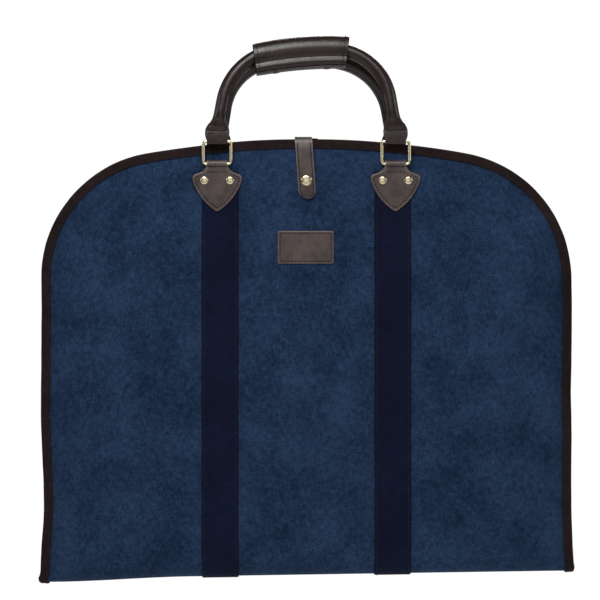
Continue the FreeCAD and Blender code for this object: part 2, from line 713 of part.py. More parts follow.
def handle_path(leg_length):
    """Half of the handle's centre line, from the top middle to the end of a leg."""
    top, side = "dim.handle_top_radius", "dim.handle_shoulder_radius"
    reach = f"({top} - {side})"
    drop = f"sqrt({reach}^2 - dim.handle_shoulder_x^2)"
    join_x = f"({top} * dim.handle_shoulder_x / {reach})"
    join_z = f"(dim.handle_height - {top} + {top} * {drop} / {reach})"
    lean = "(dim.handle_leg_lean * 1 deg)"
    centre_z = f"(dim.handle_height - {top} + {drop})"
    leg_x = f"(dim.handle_shoulder_x + {side} * cos({lean}))"
    leg_z = f"({centre_z} + {side} * sin({lean}))"
    foot_x = f"({leg_x} + ({leg_length}) * sin({lean}))"
    foot_z = f"({leg_z} - ({leg_length}) * cos({lean}))"
    return [
        ("0", "dim.handle_height", top, -1),
        (join_x, join_z, side, -1),
        (leg_x, leg_z),
        (foot_x, foot_z),
    ]


def handle_tube(body, diameters, leg_length):
    """Tube or rod along the handle's centre line."""
    path = new_sketch(body, "XZ_Plane", "0")
    draw(path, handle_path(leg_length), closed=False)
    section = new_sketch(body, "YZ_Plane", "0")
    for diameter in diameters:
        draw_circles(section, [("0", "dim.handle_height")], f"({diameter}) / 2")
    pipe = body.newObject("PartDesign::AdditivePipe", "swept")
    pipe.Profile = section
    pipe.Spine = (path, ["Edge1", "Edge2", "Edge3"])
    body.Tip = pipe
    return pipe


def handle_placement(half):
    """Where a handle hangs on its rings' upper bars, and how far it leans over the bag."""
    tilt = math.radians(size("dim.rear_ring_tilt")) if half == "rear" else 0.0
    pitch = size("dim.ring_pitch")
    pivot = Vector(0, size(RING_Y) - pitch * math.sin(tilt), pitch * math.cos(tilt) - size("dim.ring_drop"))
    return Placement(pivot, Rotation(X_AXIS, -size(f"dim.{half}_handle_lean")))


def handle_cover(half):
    """Rolled leather tube whose flat ends loop round the upper bars of two rings."""
    body = new_body("handle_cover")
    pipe = handle_tube(body, ["dim.handle_tube", "dim.handle_bore"], "dim.handle_leg_length")
    start = "dim.ring_x - dim.loop_width / 2"
    top_x = "dim.handle_end_depth / 2"
    strap = new_sketch(body, "YZ_Plane", start)
    draw(strap, rectangle(f"-{top_x}", "0", top_x, "dim.handle_end_height"))
    end = extrude(body, strap, "dim.loop_width", False)
    loop = new_sketch(body, "YZ_Plane", start)
    draw_circles(loop, [("0", "0")], f"{LOOP_BORE} + dim.leather")
    eye = extrude(body, loop, "dim.loop_width", False)
    bore = new_sketch(body, "YZ_Plane", start)
    draw_circles(bore, [("0", "0")], LOOP_BORE)
    hole = extrude(body, bore, "dim.loop_width", True, "PartDesign::Pocket")
    mirrored(body, [pipe, end, eye, hole])
    place(f"{half}_handle_cover", half, body, handle_placement(half))


def handle_core(half):
    """Rope core inside the rolled leather, above its flat ends."""
    body = new_body("handle_core")
    diameter = "dim.handle_bore - 2 * dim.handle_core_play"
    pipe = handle_tube(body, [diameter], "dim.handle_leg_length - dim.handle_core_setback")
    mirrored(body, [pipe])
    place(f"{half}_handle_core", half, body, handle_placement(half))


# ---------------------------------------------------------------- grip wrap

# The rear handle's top seen from the front handle's top, in the bag's frame and then in the
# front handle's own leaning frame.
FRONT_LEAN = "(dim.front_handle_lean * 1 deg)"
REAR_LEAN = "(dim.rear_handle_lean * 1 deg)"
RING_TILT = "(dim.rear_ring_tilt * 1 deg)"
PIVOTS_APART = f"(dim.half_depth + dim.half_gap - 2 * {RING_Y} + dim.ring_pitch * sin({RING_TILT}))"
REAR_Y = f"({PIVOTS_APART} - dim.handle_height * (sin({REAR_LEAN}) + sin({FRONT_LEAN})))"
REAR_Z = (f"(dim.ring_pitch * (cos({RING_TILT}) - 1)"
          f" + dim.handle_height * (cos({REAR_LEAN}) - cos({FRONT_LEAN})))")
REAR_ACROSS = f"({REAR_Y} * cos({FRONT_LEAN}) - {REAR_Z} * sin({FRONT_LEAN}))"
REAR_UP = f"({REAR_Y} * sin({FRONT_LEAN}) + {REAR_Z} * cos({FRONT_LEAN}))"
WRAP_TOP = "(dim.handle_tube / 2 + dim.wrap_play + dim.wrap_wall)"
WRAP_INNER_BOTTOM = f"({REAR_UP} - dim.handle_tube / 2 - dim.wrap_under_play)"
WRAP_BOTTOM = f"({WRAP_INNER_BOTTOM} - dim.wrap_wall)"
WRAP_FRONT = f"(-{WRAP_TOP})"
WRAP_BACK = f"({REAR_ACROSS} + dim.handle_tube / 2 + dim.wrap_back_play)"
WRAP_UNDER = f"({WRAP_FRONT} + dim.wrap_under)"
GRIP_SNAP_Y = f"({WRAP_UNDER} - dim.grip_snap_setback)"
LIP_FRONT = f"({GRIP_SNAP_Y} - dim.grip_cap / 2 - dim.flap_margin)"
FLAP_FRONT = f"({WRAP_BACK} + dim.flap_gap)"
FLAP_BACK = f"({FLAP_FRONT} + dim.flap_leather)"
LIP_TOP = f"({WRAP_BOTTOM} - dim.flap_drop)"
LIP_BOTTOM = f"({LIP_TOP} - dim.flap_leather)"


def wrap_placement(swing=0.0):
    """Centre of the handle's top arc, turned along the arc to the middle of the wrap."""
    centre = Placement(Vector(0, 0, size("dim.handle_height - dim.handle_top_radius")), Rotation())
    offset = -math.degrees(size("dim.wrap_offset") / size("dim.handle_top_radius"))
    turn = Placement(Vector(), Rotation(Y_AXIS, offset + swing))
    return handle_placement("front").multiply(centre).multiply(turn)


def revolved(name, corners):
    """Turn a section about the centre of the handle's top arc, over the wrap's length."""
    body = new_body(name)
    lifted = [(across, f"dim.handle_top_radius + {up}") for across, up in corners]
    section = new_sketch(body, "YZ_Plane", "0")
    draw(section, lifted)
    turned = body.newObject("PartDesign::Revolution", "turned")
    turned.Profile = section
    turned.ReferenceAxis = (origin_feature(body, "Y_Axis"), [""])
    turned.Midplane = True
    turned.setExpression("Angle", "dim.wrap_length / dim.handle_top_radius * 180 / pi")
    body.Tip = turned
    place(name, "front", body, wrap_placement())


def grip_wrap():
    """Leather sleeve over both handles and under the front one, open at the back."""
    inner_top = f"({WRAP_TOP} - dim.wrap_wall)"
    inner_front = f"({WRAP_FRONT} + dim.wrap_wall)"
    revolved("grip_wrap", [
        (WRAP_FRONT, WRAP_BOTTOM),
        (WRAP_UNDER, WRAP_BOTTOM),
        (WRAP_UNDER, WRAP_INNER_BOTTOM),
        (inner_front, WRAP_INNER_BOTTOM),
        (inner_front, inner_top),
        (WRAP_BACK, inner_top),
        (WRAP_BACK, WRAP_TOP),
        (WRAP_FRONT, WRAP_TOP),
    ])


def grip_flap():
    """Flap that closes the back of the grip wrap and snaps under it."""
    revolved("grip_flap", [
        (LIP_FRONT, LIP_BOTTOM),
        (FLAP_BACK, LIP_BOTTOM),
        (FLAP_BACK, WRAP_TOP),
        (FLAP_FRONT, WRAP_TOP),
        (FLAP_FRONT, LIP_TOP),
        (LIP_FRONT, LIP_TOP),
    ])


def snap_pair(name, diameter, rise, surface):
    """Two round snap pieces under a curved surface, set down to clear its curve."""
    radius = f"(dim.handle_top_radius + {surface})"
    curve_drop = f"({diameter})^2 / (8 * {radius})"
    swing = math.degrees(size("dim.grip_snap_spacing") / 2 / size("dim.handle_top_radius"))
    foot = Vector(0, size(GRIP_SNAP_Y), size(f"{radius} - {curve_drop} - {rise}"))
    members = []
    for step in (-1, 1):
        solid = doc.addObject("Part::Cylinder", "round")
        solid.setExpression("Radius", f"{diameter} / 2")
        solid.setExpression("Height", rise)
        solid.Placement = wrap_placement(step * swing).multiply(Placement(foot, Rotation()))
        members.append(solid)
    group(name, "front", members)


def grip_snaps():
    """Studs under the grip wrap and caps under the lip of its flap."""
    snap_pair("grip_studs", "dim.grip_stud", "dim.grip_stud_rise", WRAP_BOTTOM)
    snap_pair("grip_caps", "dim.grip_cap", "dim.grip_cap_rise", LIP_BOTTOM)


# ---------------------------------------------------------------- zip slider and pull

SLIDER_TOP = f"({ZIP_TOP} - dim.stop_height - dim.stop_gap)"
SLIDER_BACK = f"({TAPE_MIDDLE} + dim.teeth_thickness / 2 + dim.slider_play + dim.slider_plate)"
PULL_Z = f"({SLIDER_TOP} - dim.slider_length / 2)"


def zip_slider():
    """Two plates on a narrow post between the rows of teeth, with a pin for the pull."""
    body = new_body("zip_slider")
    half_width = "dim.slider_width / 2"
    reach = "(dim.teeth_thickness / 2 + dim.slider_play)"
    outline = rectangle(f"-{half_width}", f"{SLIDER_TOP} - dim.slider_length", half_width, SLIDER_TOP)
    post_width = "(dim.teeth_half_gap - dim.slider_play)"
    post = rectangle(f"-{post_width}", f"{PULL_Z} - dim.slider_length / 4", post_width,
                     f"{PULL_Z} + dim.slider_length / 4")
    inner = f"({TAPE_MIDDLE} - {reach} - dim.slider_plate)"
    slab(body, post, inner, f"2 * ({reach} + dim.slider_plate)")
    slab(body, outline, inner, "dim.slider_plate")
    slab(body, outline, f"{TAPE_MIDDLE} + {reach}", "dim.slider_plate")
    boss(body, ("0", PULL_Z), "dim.pull_pin / 2", SLIDER_BACK, "dim.pull_plate + 2 * dim.slider_play")
    place("zip_slider", "front", body)


def zip_pull():
    """Flat pull that hangs on the slider's pin."""
    body = new_body("zip_pull")
    half_width = "dim.pull_width / 2"
    foot = f"({PULL_Z} - dim.pull_length)"
    plate = [
        (f"-{half_width}", PULL_Z),
        (f"-{half_width}", foot, half_width, 1),
        ("0", f"{foot} - {half_width}", half_width, 1),
        (half_width, foot),
        (half_width, PULL_Z, half_width, 1),
        ("0", f"{PULL_Z} + {half_width}", half_width, 1),
    ]
    front = f"{SLIDER_BACK} + dim.slider_play"
    slab(body, plate, front, "dim.pull_plate")
    drill(body, [("0", PULL_Z)], "dim.pull_pin / 2 + dim.slider_play", front, "dim.pull_plate")
    place("zip_pull", "front", body)


# ---------------------------------------------------------------- assembly

for half in ("front", "rear"):
    outer_panel(half)
    edge_binding(half)
    rivets(half)
    zip_tapes(half)
    zip_teeth(half)
    handle_core(half)
    handle_cover(half)
    for side in SIDES:
        inner_panel(half, side)
        webbing(half, side)
        chape(half, side)
        ring(half, side)
fold()
label_patch()
snap_tab_strap()
snap_tab_anchor()
snap()
grip_wrap()
grip_flap()
grip_snaps()
zip_slider()
zip_pull()
zip_stops("zip_top_stops", "front")
zip_stops("zip_bottom_stops", "rear")
doc.recompute()

for obj in doc.Objects:
    if "Invalid" in obj.State or "Error" in obj.State:
        raise RuntimeError(f"{obj.Label}: {obj.State}")
    if obj.TypeId == "PartDesign::Pocket" and obj.Shape.Volume >= obj.BaseFeature.Shape.Volume:
        raise RuntimeError(f"{obj.Label} cuts nothing")
for name, obj in parts.items():
    if obj.Shape.isNull() or not obj.Shape.isValid():
        raise RuntimeError(f"{name} has no valid shape")

os.makedirs("parts", exist_ok=True)
for name, obj in parts.items():
    obj.Shape.exportStep(f"parts/{name}.step")
print(len(parts), "sub-parts")
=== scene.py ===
import logging
import math
from collections.abc import Callable
from dataclasses import dataclass, field
from enum import Enum, IntEnum

import bpy
from mathutils import Matrix, Vector, noise


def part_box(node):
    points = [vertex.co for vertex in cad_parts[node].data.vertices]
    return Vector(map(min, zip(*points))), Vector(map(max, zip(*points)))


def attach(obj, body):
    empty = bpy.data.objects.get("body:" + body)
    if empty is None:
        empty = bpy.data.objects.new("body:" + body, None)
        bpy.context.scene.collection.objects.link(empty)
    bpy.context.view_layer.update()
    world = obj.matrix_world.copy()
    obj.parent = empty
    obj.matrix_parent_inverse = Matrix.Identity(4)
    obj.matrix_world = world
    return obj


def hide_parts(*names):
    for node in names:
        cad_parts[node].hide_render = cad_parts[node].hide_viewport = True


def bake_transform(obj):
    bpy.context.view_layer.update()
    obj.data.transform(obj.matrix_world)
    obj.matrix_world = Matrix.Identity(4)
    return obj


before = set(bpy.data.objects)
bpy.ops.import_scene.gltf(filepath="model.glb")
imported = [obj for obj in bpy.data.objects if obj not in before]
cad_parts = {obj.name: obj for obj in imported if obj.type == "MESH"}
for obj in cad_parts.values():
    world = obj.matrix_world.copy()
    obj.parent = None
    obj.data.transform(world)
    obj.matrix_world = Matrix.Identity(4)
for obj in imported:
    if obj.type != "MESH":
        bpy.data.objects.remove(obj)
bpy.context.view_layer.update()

MM = 0.001
MERGE = 0.02 * MM        # points nearer than this become one
HAIR = 0.05 * MM         # stitches stand this far out of the face they are sewn on
LOG = logging.getLogger("garment_bag")

Place = Callable[[float, float], Vector]


# ------------------------------------------------------------------ workshop

def smooth(share: float) -> float:
    """Ease from 0 to 1 and stay there."""
    share = min(max(share, 0.0), 1.0)
    return share * share * (3 - 2 * share)


def ripple(x: float, y: float, wave: float, seed: float = 0.0) -> float:
    """Smooth unevenness between -1 and 1 over lengths of about one wave."""
    return noise.noise(Vector((x / wave, y / wave, seed)))


@dataclass(frozen=True)
class Waves:
    """Soft, uneven waves of one height and length."""

    height: float
    length: float
    seed: float

    def at(self, x: float, y: float = 0.0) -> float:
        """Rise or fall at a place."""
        return self.height * ripple(x, y, self.length, self.seed)


def middle_of(node: str) -> Vector:
    """Middle of a CAD node's box."""
    low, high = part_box(node)
    return (low + high) / 2


def plane_between() -> float:
    """Depth of the plane midway between the bag's two halves."""
    return (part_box("front_edge_binding")[0].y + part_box("rear_edge_binding")[1].y) / 2


def deselect() -> None:
    """Leave edit mode and clear the selection."""
    if bpy.context.object and bpy.context.object.mode != "OBJECT":
        bpy.ops.object.mode_set(mode="OBJECT")
    bpy.ops.object.select_all(action="DESELECT")


def pick(obj: bpy.types.Object) -> None:
    """Make one object the only selected and the active one."""
    deselect()
    obj.select_set(True)
    bpy.context.view_layer.objects.active = obj


def named(name: str) -> bpy.types.Object:
    """Name the new primitive and its mesh.

    Args:
        name: the piece's name.
    Returns:
        The active object.
    """
    obj = bpy.context.object
    obj.name = name
    obj.data.name = name
    return obj


def finish_mesh(obj: bpy.types.Object, angle: float = 40.0) -> bpy.types.Object:
    """Merge doubles, turn faces outwards and smooth them.

    Args:
        obj: a closed mesh.
        angle: edges sharper than this stay sharp, in degrees.
    Returns:
        The same object.
    """
    pick(obj)
    bpy.ops.object.mode_set(mode="EDIT")
    bpy.ops.mesh.select_all(action="SELECT")
    bpy.ops.mesh.remove_doubles(threshold=MERGE)
    bpy.ops.mesh.normals_make_consistent(inside=False)
    bpy.ops.object.mode_set(mode="OBJECT")
    bpy.ops.object.shade_smooth_by_angle(angle=math.radians(angle))
    return obj


def laid_grid(name: str, columns: int, rows: int, place: Place, size: tuple[float, float],
              thickness: float = 0.0, angle: float = 50.0) -> bpy.types.Object:
    """Lay a grid on a surface, with its UV map in metres.

    Args:
        name: the piece's name.
        columns: faces across.
        rows: faces along.
        place: where a point goes, from its two shares of 0 to 1.
        size: metres across and along, for the UV map.
        thickness: metres of wall, or 0 to leave it open.
        angle: edges sharper than this stay sharp, in degrees.
    Returns:
        The new object.
    """
    deselect()
    bpy.ops.mesh.primitive_grid_add(x_subdivisions=columns, y_subdivisions=rows, size=1.0)
    obj = named(name)
    for layer in obj.data.uv_layers[0].data:
        layer.uv = (layer.uv[0] * size[0], layer.uv[1] * size[1])
    for vertex in obj.data.vertices:
        vertex.co = place(vertex.co.x + 0.5, vertex.co.y + 0.5)
    pick(obj)
    if thickness:
        wall = obj.modifiers.new("wall", "SOLIDIFY")
        wall.thickness = thickness
        wall.offset = 0.0
        bpy.ops.object.modifier_apply(modifier="wall")
    bpy.ops.object.shade_smooth_by_angle(angle=math.radians(angle))
    return obj


def loft(name: str, around: int, along: int, place: Place, size: tuple[float, float],
         angle: float = 50.0) -> bpy.types.Object:
    """Lay a grid round a closed section and close its seam and its ends.

    Args:
        name: the piece's name.
        around: faces round the section.
        along: faces along it.
        place: where a point goes, from its shares round and along.
        size: metres round and along, for the UV map.
        angle: edges sharper than this stay sharp, in degrees.
    Returns:
        The new object.
    """
    obj = laid_grid(name, around, along, place, size)
    pick(obj)
    bpy.ops.object.mode_set(mode="EDIT")
    bpy.ops.mesh.select_all(action="SELECT")
    bpy.ops.mesh.remove_doubles(threshold=MERGE)
    bpy.ops.mesh.select_all(action="SELECT")
    bpy.ops.mesh.fill_holes(sides=0)
    bpy.ops.object.mode_set(mode="OBJECT")
    return finish_mesh(obj, angle)


def plate(name: str, outline: list[Vector], out: Vector, thickness: float, edge: float,
          rim: float) -> bpy.types.Object:
    """Cut a leather plate with a rounded edge and a worn rim.

    Args:
        name: the piece's name.
        outline: corners on the plate's back, anticlockwise seen from its face.
        out: direction that its face looks in.
        thickness: metres from back to face.
        edge: size of the rounded edge.
        rim: width of the worn rim.
    Returns:
        The new object, with a wear attribute of 1 at its edge.
    """
    deselect()
    bpy.ops.mesh.primitive_circle_add(vertices=len(outline), radius=0.01, fill_type="NGON")
    obj = named(name)
    for vertex, corner in zip(obj.data.vertices, outline):
        vertex.co = corner
    obj.data.update()
    pick(obj)
    bpy.ops.object.mode_set(mode="EDIT")
    bpy.ops.mesh.select_mode(type="FACE")
    bpy.ops.mesh.select_all(action="SELECT")
    bpy.ops.mesh.extrude_region_move(
        TRANSFORM_OT_translate={"value": tuple(out * (thickness - edge))})
    xs, zs = [corner.x for corner in outline], [corner.z for corner in outline]
    middle = ((min(xs) + max(xs)) / 2, outline[0].y, (min(zs) + max(zs)) / 2)
    wide, tall = max(xs) - min(xs), max(zs) - min(zs)
    rings = ((edge * 0.45, 0.65), (edge * 0.8, 0.35), (rim, 0.0))    # inset, share of the rise
    for step, rise in rings:
        bpy.ops.mesh.extrude_region_move(
            TRANSFORM_OT_translate={"value": tuple(out * (edge * rise))})
        bpy.ops.transform.resize(value=(1 - 2 * step / wide, 1, 1 - 2 * step / tall),
                                 center_override=middle)
        wide, tall = wide - 2 * step, tall - 2 * step
    bpy.ops.object.mode_set(mode="OBJECT")
    mark_wear(obj, [0.0 if vertex.select else 1.0 for vertex in obj.data.vertices])
    bpy.ops.object.shade_smooth_by_angle(angle=math.radians(50))
    return obj


def mark_wear(obj: bpy.types.Object, amounts: list[float]) -> None:
    """Note how worn each point of a leather piece is, from 0 to 1."""
    wear = obj.data.attributes.new("wear", "FLOAT", "POINT")
    wear.data.foreach_set("value", amounts)


def rounded_edges(obj: bpy.types.Object, width: float) -> bpy.types.Object:
    """Round a leather band's cut edges.

    Args:
        obj: the band.
        width: how far the rounding reaches.
    Returns:
        The same object.
    """
    pick(obj)
    rounding = obj.modifiers.new("rounding", "BEVEL")
    rounding.width = width
    rounding.segments = 2
    rounding.limit_method = "ANGLE"
    rounding.angle_limit = math.radians(50)
    bpy.ops.object.modifier_apply(modifier="rounding")
    bpy.ops.object.shade_smooth_by_angle(angle=math.radians(60))
    return obj


def join(name: str, pieces: list[bpy.types.Object]) -> bpy.types.Object:
    """Join meshes into one piece.

    Args:
        name: the piece's name.
        pieces: objects to join; the first one's data stays first.
    Returns:
        The joined object.
    """
    deselect()
    for piece in pieces:
        piece.select_set(True)
    bpy.context.view_layer.objects.active = pieces[0]
    bpy.ops.object.join()
    return named(name)


def copies(name: str, pattern: bpy.types.Object, frames: list[Matrix]) -> bpy.types.Object:
    """Repeat one small shape at many places in one mesh, and remove the pattern.

    Args:
        name: the piece's name.
        pattern: the shape, modelled once about the origin.
        frames: where each copy goes.
    Returns:
        The new object.
    """
    base = [vertex.co.copy() for vertex in pattern.data.vertices]
    loops = [tuple(face.vertices) for face in pattern.data.polygons]
    points, faces = [], []
    for matrix in frames:
        first = len(points)
        points.extend(matrix @ corner for corner in base)
        faces.extend(tuple(first + i for i in loop) for loop in loops)
    mesh = bpy.data.meshes.new(name)
    mesh.from_pydata(points, [], faces)
    obj = bpy.data.objects.new(name, mesh)
    bpy.context.collection.objects.link(obj)
    bpy.data.objects.remove(pattern)
    pick(obj)
    bpy.ops.object.shade_smooth_by_angle(angle=math.radians(60))
    return obj


def axes_at(centre: Vector, along: Vector, out: Vector,
            size: tuple[float, float, float] = (1.0, 1.0, 1.0)) -> Matrix:
    """Frame with its X along a line and its Z out of a surface.

    Args:
        centre: origin of the frame.
        along: direction of X.
        out: rough direction of Z.
        size: scale along the three axes.
    Returns:
        The matrix of the frame.
    """
    x_axis = along.normalized()
    y_axis = out.cross(x_axis).normalized()
    z_axis = x_axis.cross(y_axis)
    turn = Matrix((x_axis, y_axis, z_axis)).transposed().to_4x4()
    return Matrix.Translation(centre) @ turn @ Matrix.Diagonal((*size, 1.0))


def curve_through(knots: list[tuple[float, float]], share: float) -> tuple[float, float]:
    """Point on a smooth line through knots.

    Args:
        knots: the points that it passes.
        share: how far along, from 0 to 1.
    Returns:
        The point's two coordinates.
    """
    run = min(max(share, 0.0), 1.0) * (len(knots) - 1)
    i = min(int(run), len(knots) - 2)
    t = run - i
    near = [knots[max(i - 1, 0)], knots[i], knots[i + 1], knots[min(i + 2, len(knots) - 1)]]
    weights = (-t ** 3 + 2 * t ** 2 - t, 3 * t ** 3 - 5 * t ** 2 + 2,
               -3 * t ** 3 + 4 * t ** 2 + t, t ** 3 - t ** 2)
    return tuple(sum(w * p[k] for w, p in zip(weights, near)) / 2 for k in range(2))


def ladder(rungs: list[tuple[float, float]], level: float) -> float:
    """Value between rungs of (level, value), eased from each to the next.

    Args:
        rungs: levels in rising order, each with its value.
        level: where to read.
    Returns:
        The value there.
    """
    if level <= rungs[0][0]:
        return rungs[0][1]
    for (low, first), (high, last) in zip(rungs, rungs[1:]):
        if level <= high:
            return first + (last - first) * smooth((level - low) / (high - low))
    return rungs[-1][1]


# ------------------------------------------------------------------ finishes

Colour = tuple[float, float, float]


class Weave(Enum):
    """How a cloth is woven."""

    CANVAS = "plain weave"
    RIBBED = "ribs across"
    TAPE = "fine herringbone"


class Bench:
    """A material's node tree while it is put together."""

    def __init__(self, name: str) -> None:
        """Start a material with one surface shader."""
        self.material = bpy.data.materials.new(name)
        self.material.use_nodes = True
        self.tree = self.material.node_tree
        self.shader = self.tree.nodes["Principled BSDF"]

    def node(self, kind: str, sockets: dict, **settings: object) -> bpy.types.Node:
        """Add a node.

        Args:
            kind: the node's type after ShaderNode.
            sockets: values or outputs for its inputs, by name or number.
            settings: the node's own properties.
        Returns:
            The node.
        """
        new = self.tree.nodes.new("ShaderNode" + kind)
        for key, value in settings.items():
            setattr(new, key, value)
        for key, value in sockets.items():
            self.feed(new.inputs[key], value)
        return new

    def feed(self, socket: bpy.types.NodeSocket, value: object) -> None:
        """Link an output to a socket, or set the socket's own value."""
        if isinstance(value, bpy.types.NodeSocket):
            self.tree.links.new(value, socket)
        else:
            socket.default_value = value

    def where(self, kind: str) -> bpy.types.NodeSocket:
        """Object or UV coordinates."""
        return self.node("TexCoord", {}).outputs[kind]

    def mottle(self, place: bpy.types.NodeSocket, scale: float, detail: float = 4.0,
               roughness: float = 0.6) -> bpy.types.NodeSocket:
        """Soft noise over a place, from 0 to 1."""
        return self.node("TexNoise", {"Vector": place, "Scale": scale, "Detail": detail,
                                      "Roughness": roughness}).outputs[0]

    def bands(self, place: bpy.types.NodeSocket, pitch: float, axis: str,
              bend: float = 0.0) -> bpy.types.NodeSocket:
        """Even bands of one pitch across an axis."""
        scale = math.pi / 10 / pitch
        return self.node("TexWave", {"Vector": place, "Scale": scale, "Distortion": bend,
                                     "Detail": 1.0}, bands_direction=axis).outputs["Fac"]

    def sum(self, operation: str, first: object, second: object) -> bpy.types.NodeSocket:
        """Arithmetic on two numbers."""
        return self.node("Math", {0: first, 1: second}, operation=operation).outputs[0]

    def span(self, value: bpy.types.NodeSocket, low: float, high: float, first: float,
             last: float) -> bpy.types.NodeSocket:
        """Map low to high onto first to last."""
        return self.node("MapRange", {0: value, 1: low, 2: high, 3: first, 4: last}).outputs[0]

    def blend(self, share: object, first: object, second: object,
              kind: str = "MIX") -> bpy.types.NodeSocket:
        """Mix two colours."""
        return self.node("Mix", {0: share, 6: first, 7: second}, data_type="RGBA",
                         blend_type=kind).outputs[2]

    def relief(self, height: bpy.types.NodeSocket, depth: float, strength: float,
               under: bpy.types.NodeSocket | None = None) -> bpy.types.NodeSocket:
        """Bump from a height."""
        sockets = {"Height": height, "Distance": depth, "Strength": strength}
        if under:
            sockets["Normal"] = under
        return self.node("Bump", sockets).outputs[0]

    def surface(self, **sockets: object) -> bpy.types.Material:
        """Feed the shader, with underscores for spaces, and give the material back."""
        for key, value in sockets.items():
            self.feed(self.shader.inputs[key.replace("_", " ")], value)
        return self.material


def rgba(colour: Colour) -> tuple[float, float, float, float]:
    """Linear colour with full alpha, from display values of 0 to 255."""
    return (*(((value / 255 + 0.055) / 1.055) ** 2.4 for value in colour), 1.0)


@dataclass(frozen=True)
class Cloth:
    """Woven cloth that reads the piece's UV map, which is in metres."""

    name: str
    deep: Colour
    pale: Colour
    weave: Weave
    pitch: float
    relief: float
    contrast: float = 0.3
    roughness: float = 0.9

    def make(self) -> bpy.types.Material:
        """Build the cloth."""
        bench = Bench(self.name)
        thread, spot = bench.where("UV"), bench.where("Object")
        across = bench.bands(thread, self.pitch, "X", 0.3)
        along = bench.bands(thread, self.pitch, "Y", 0.3)
        if self.weave is Weave.RIBBED:
            fine = bench.bands(thread, self.pitch * 0.45, "X", 0.2)
            height = bench.sum("ADD", along, bench.sum("MULTIPLY", fine, 0.3))
        elif self.weave is Weave.TAPE:
            slant = bench.bands(thread, self.pitch * 1.4, "DIAGONAL", 0.2)
            height = bench.sum("ADD", slant, bench.sum("MULTIPLY", along, 0.6))
        else:
            height = bench.sum("MAXIMUM", across, along)
        wash = bench.sum("ADD", bench.mottle(spot, 16.0, 6.0, 0.66),
                         bench.sum("MULTIPLY", bench.mottle(spot, 190.0, 5.0, 0.75), 1.1))
        share = bench.span(wash, 0.82, 1.28, 0.0, 1.0)
        washed = bench.blend(share, rgba(self.deep), rgba(self.pale))
        weft, warp = (bench.mottle(bench.node("Mapping", {"Vector": thread, "Scale": stretch})
                                   .outputs[0], 1.0, 3.0, 0.75)
                      for stretch in ((130, 900, 1), (900, 130, 1)))
        threads = bench.sum("ADD", weft, warp)
        # Partly painted shade: the weave's height lightens the raised threads and darkens the
        # hollows between them; the thread streaks are real yarn tone.
        relief_shade_and_yarn_tone = bench.sum("ADD", bench.sum("MULTIPLY", height, 0.25),
                        bench.sum("MULTIPLY", threads, 2.0))
        shade = bench.span(relief_shade_and_yarn_tone, 1.55, 2.75, 1.0 - self.contrast, 1.0 + self.contrast)
        colour = bench.blend(1.0, washed, bench.node(
            "CombineColor", {0: shade, 1: shade, 2: shade}).outputs[0], "MULTIPLY")
        slub = bench.relief(bench.mottle(spot, 260.0, 5.0), 0.0006, 0.35)
        normal = bench.relief(height, self.relief, 0.8, slub)
        return bench.surface(Base_Color=colour, Roughness=self.roughness, Normal=normal,
                             Specular_IOR_Level=0.12)


@dataclass(frozen=True)
class Leather:
    """Smooth grained leather, paler where its edge is worn."""

    name: str
    deep: Colour
    pale: Colour
    worn: Colour
    roughness: float = 0.42
    grain: float = 1000.0
    relief: float = 1.0
    shine: float = 0.5

    def make(self) -> bpy.types.Material:
        """Build the leather."""
        bench = Bench(self.name)
        spot = bench.where("Object")
        cloud = bench.span(bench.mottle(spot, 60.0, 5.0), 0.35, 0.68, 0.0, 1.0)
        colour = bench.blend(cloud, rgba(self.deep), rgba(self.pale))
        wear = bench.node("Attribute", {}, attribute_name="wear").outputs["Fac"]
        scuffs = bench.span(bench.mottle(spot, 420.0, 6.0, 0.75), 0.36, 0.62, 0.25, 1.0)
        rub = bench.sum("MULTIPLY", wear, scuffs)
        rare = bench.span(bench.mottle(spot, 130.0, 7.0, 0.8), 0.60, 0.76, 0.0, 0.5)
        colour = bench.blend(bench.sum("MAXIMUM", bench.sum("MULTIPLY", rub, 0.85), rare),
                             colour, rgba(self.worn))
        cells = bench.node("TexVoronoi", {"Vector": spot, "Scale": self.grain}).outputs[0]
        pores = bench.relief(cells, 0.00016, 0.4 * self.relief)
        normal = bench.relief(bench.mottle(spot, 190.0, 4.0, 0.55), 0.0006, 0.3 * self.relief,
                              pores)
        rough = bench.span(bench.mottle(spot, 300.0, 4.0), 0.3, 0.7, self.roughness - 0.08,
                           self.roughness + 0.14)
        return bench.surface(Base_Color=colour, Roughness=rough, Normal=normal,
                             Specular_IOR_Level=self.shine, Coat_Weight=0.1,
                             Coat_Roughness=0.35)


@dataclass(frozen=True)
class Brass:
    """Polished or satin brass with fine handling marks."""

    name: str
    colour: Colour
    tarnish: Colour
    roughness: float

    def make(self) -> bpy.types.Material:
        """Build the metal."""
        bench = Bench(self.name)
        spot = bench.where("Object")
        cloud = bench.span(bench.mottle(spot, 220.0, 5.0), 0.42, 0.75, 0.0, 0.55)
        marks = bench.mottle(spot, 1300.0, 5.0, 0.7)
        rough = bench.span(marks, 0.3, 0.7, self.roughness * 0.7, self.roughness * 1.5)
        normal = bench.relief(bench.mottle(spot, 700.0, 4.0), 0.0001, 0.18)
        return bench.surface(Base_Color=bench.blend(cloud, rgba(self.colour), rgba(self.tarnish)),
                             Metallic=1.0, Roughness=rough, Normal=normal)


@dataclass(frozen=True)
class Thread:
    """Twisted sewing thread or rope."""

    name: str
    colour: Colour
    shade: Colour
    twist: float

    def make(self) -> bpy.types.Material:
        """Build the thread."""
        bench = Bench(self.name)
        spot = bench.where("Object")
        ply = bench.bands(spot, self.twist, "DIAGONAL", 0.6)
        fuzz = bench.mottle(spot, 2200.0, 3.0)
        # Painted shade: the grooves of the twist are darkened toward the shade colour and the
        # plies' crowns are lightened.
        colour = bench.blend(bench.sum("MULTIPLY", ply, fuzz), rgba(self.shade), rgba(self.colour))
        return bench.surface(Base_Color=colour, Roughness=0.75, Specular_IOR_Level=0.3,
                             Normal=bench.relief(ply, self.twist * 0.3, 0.6))


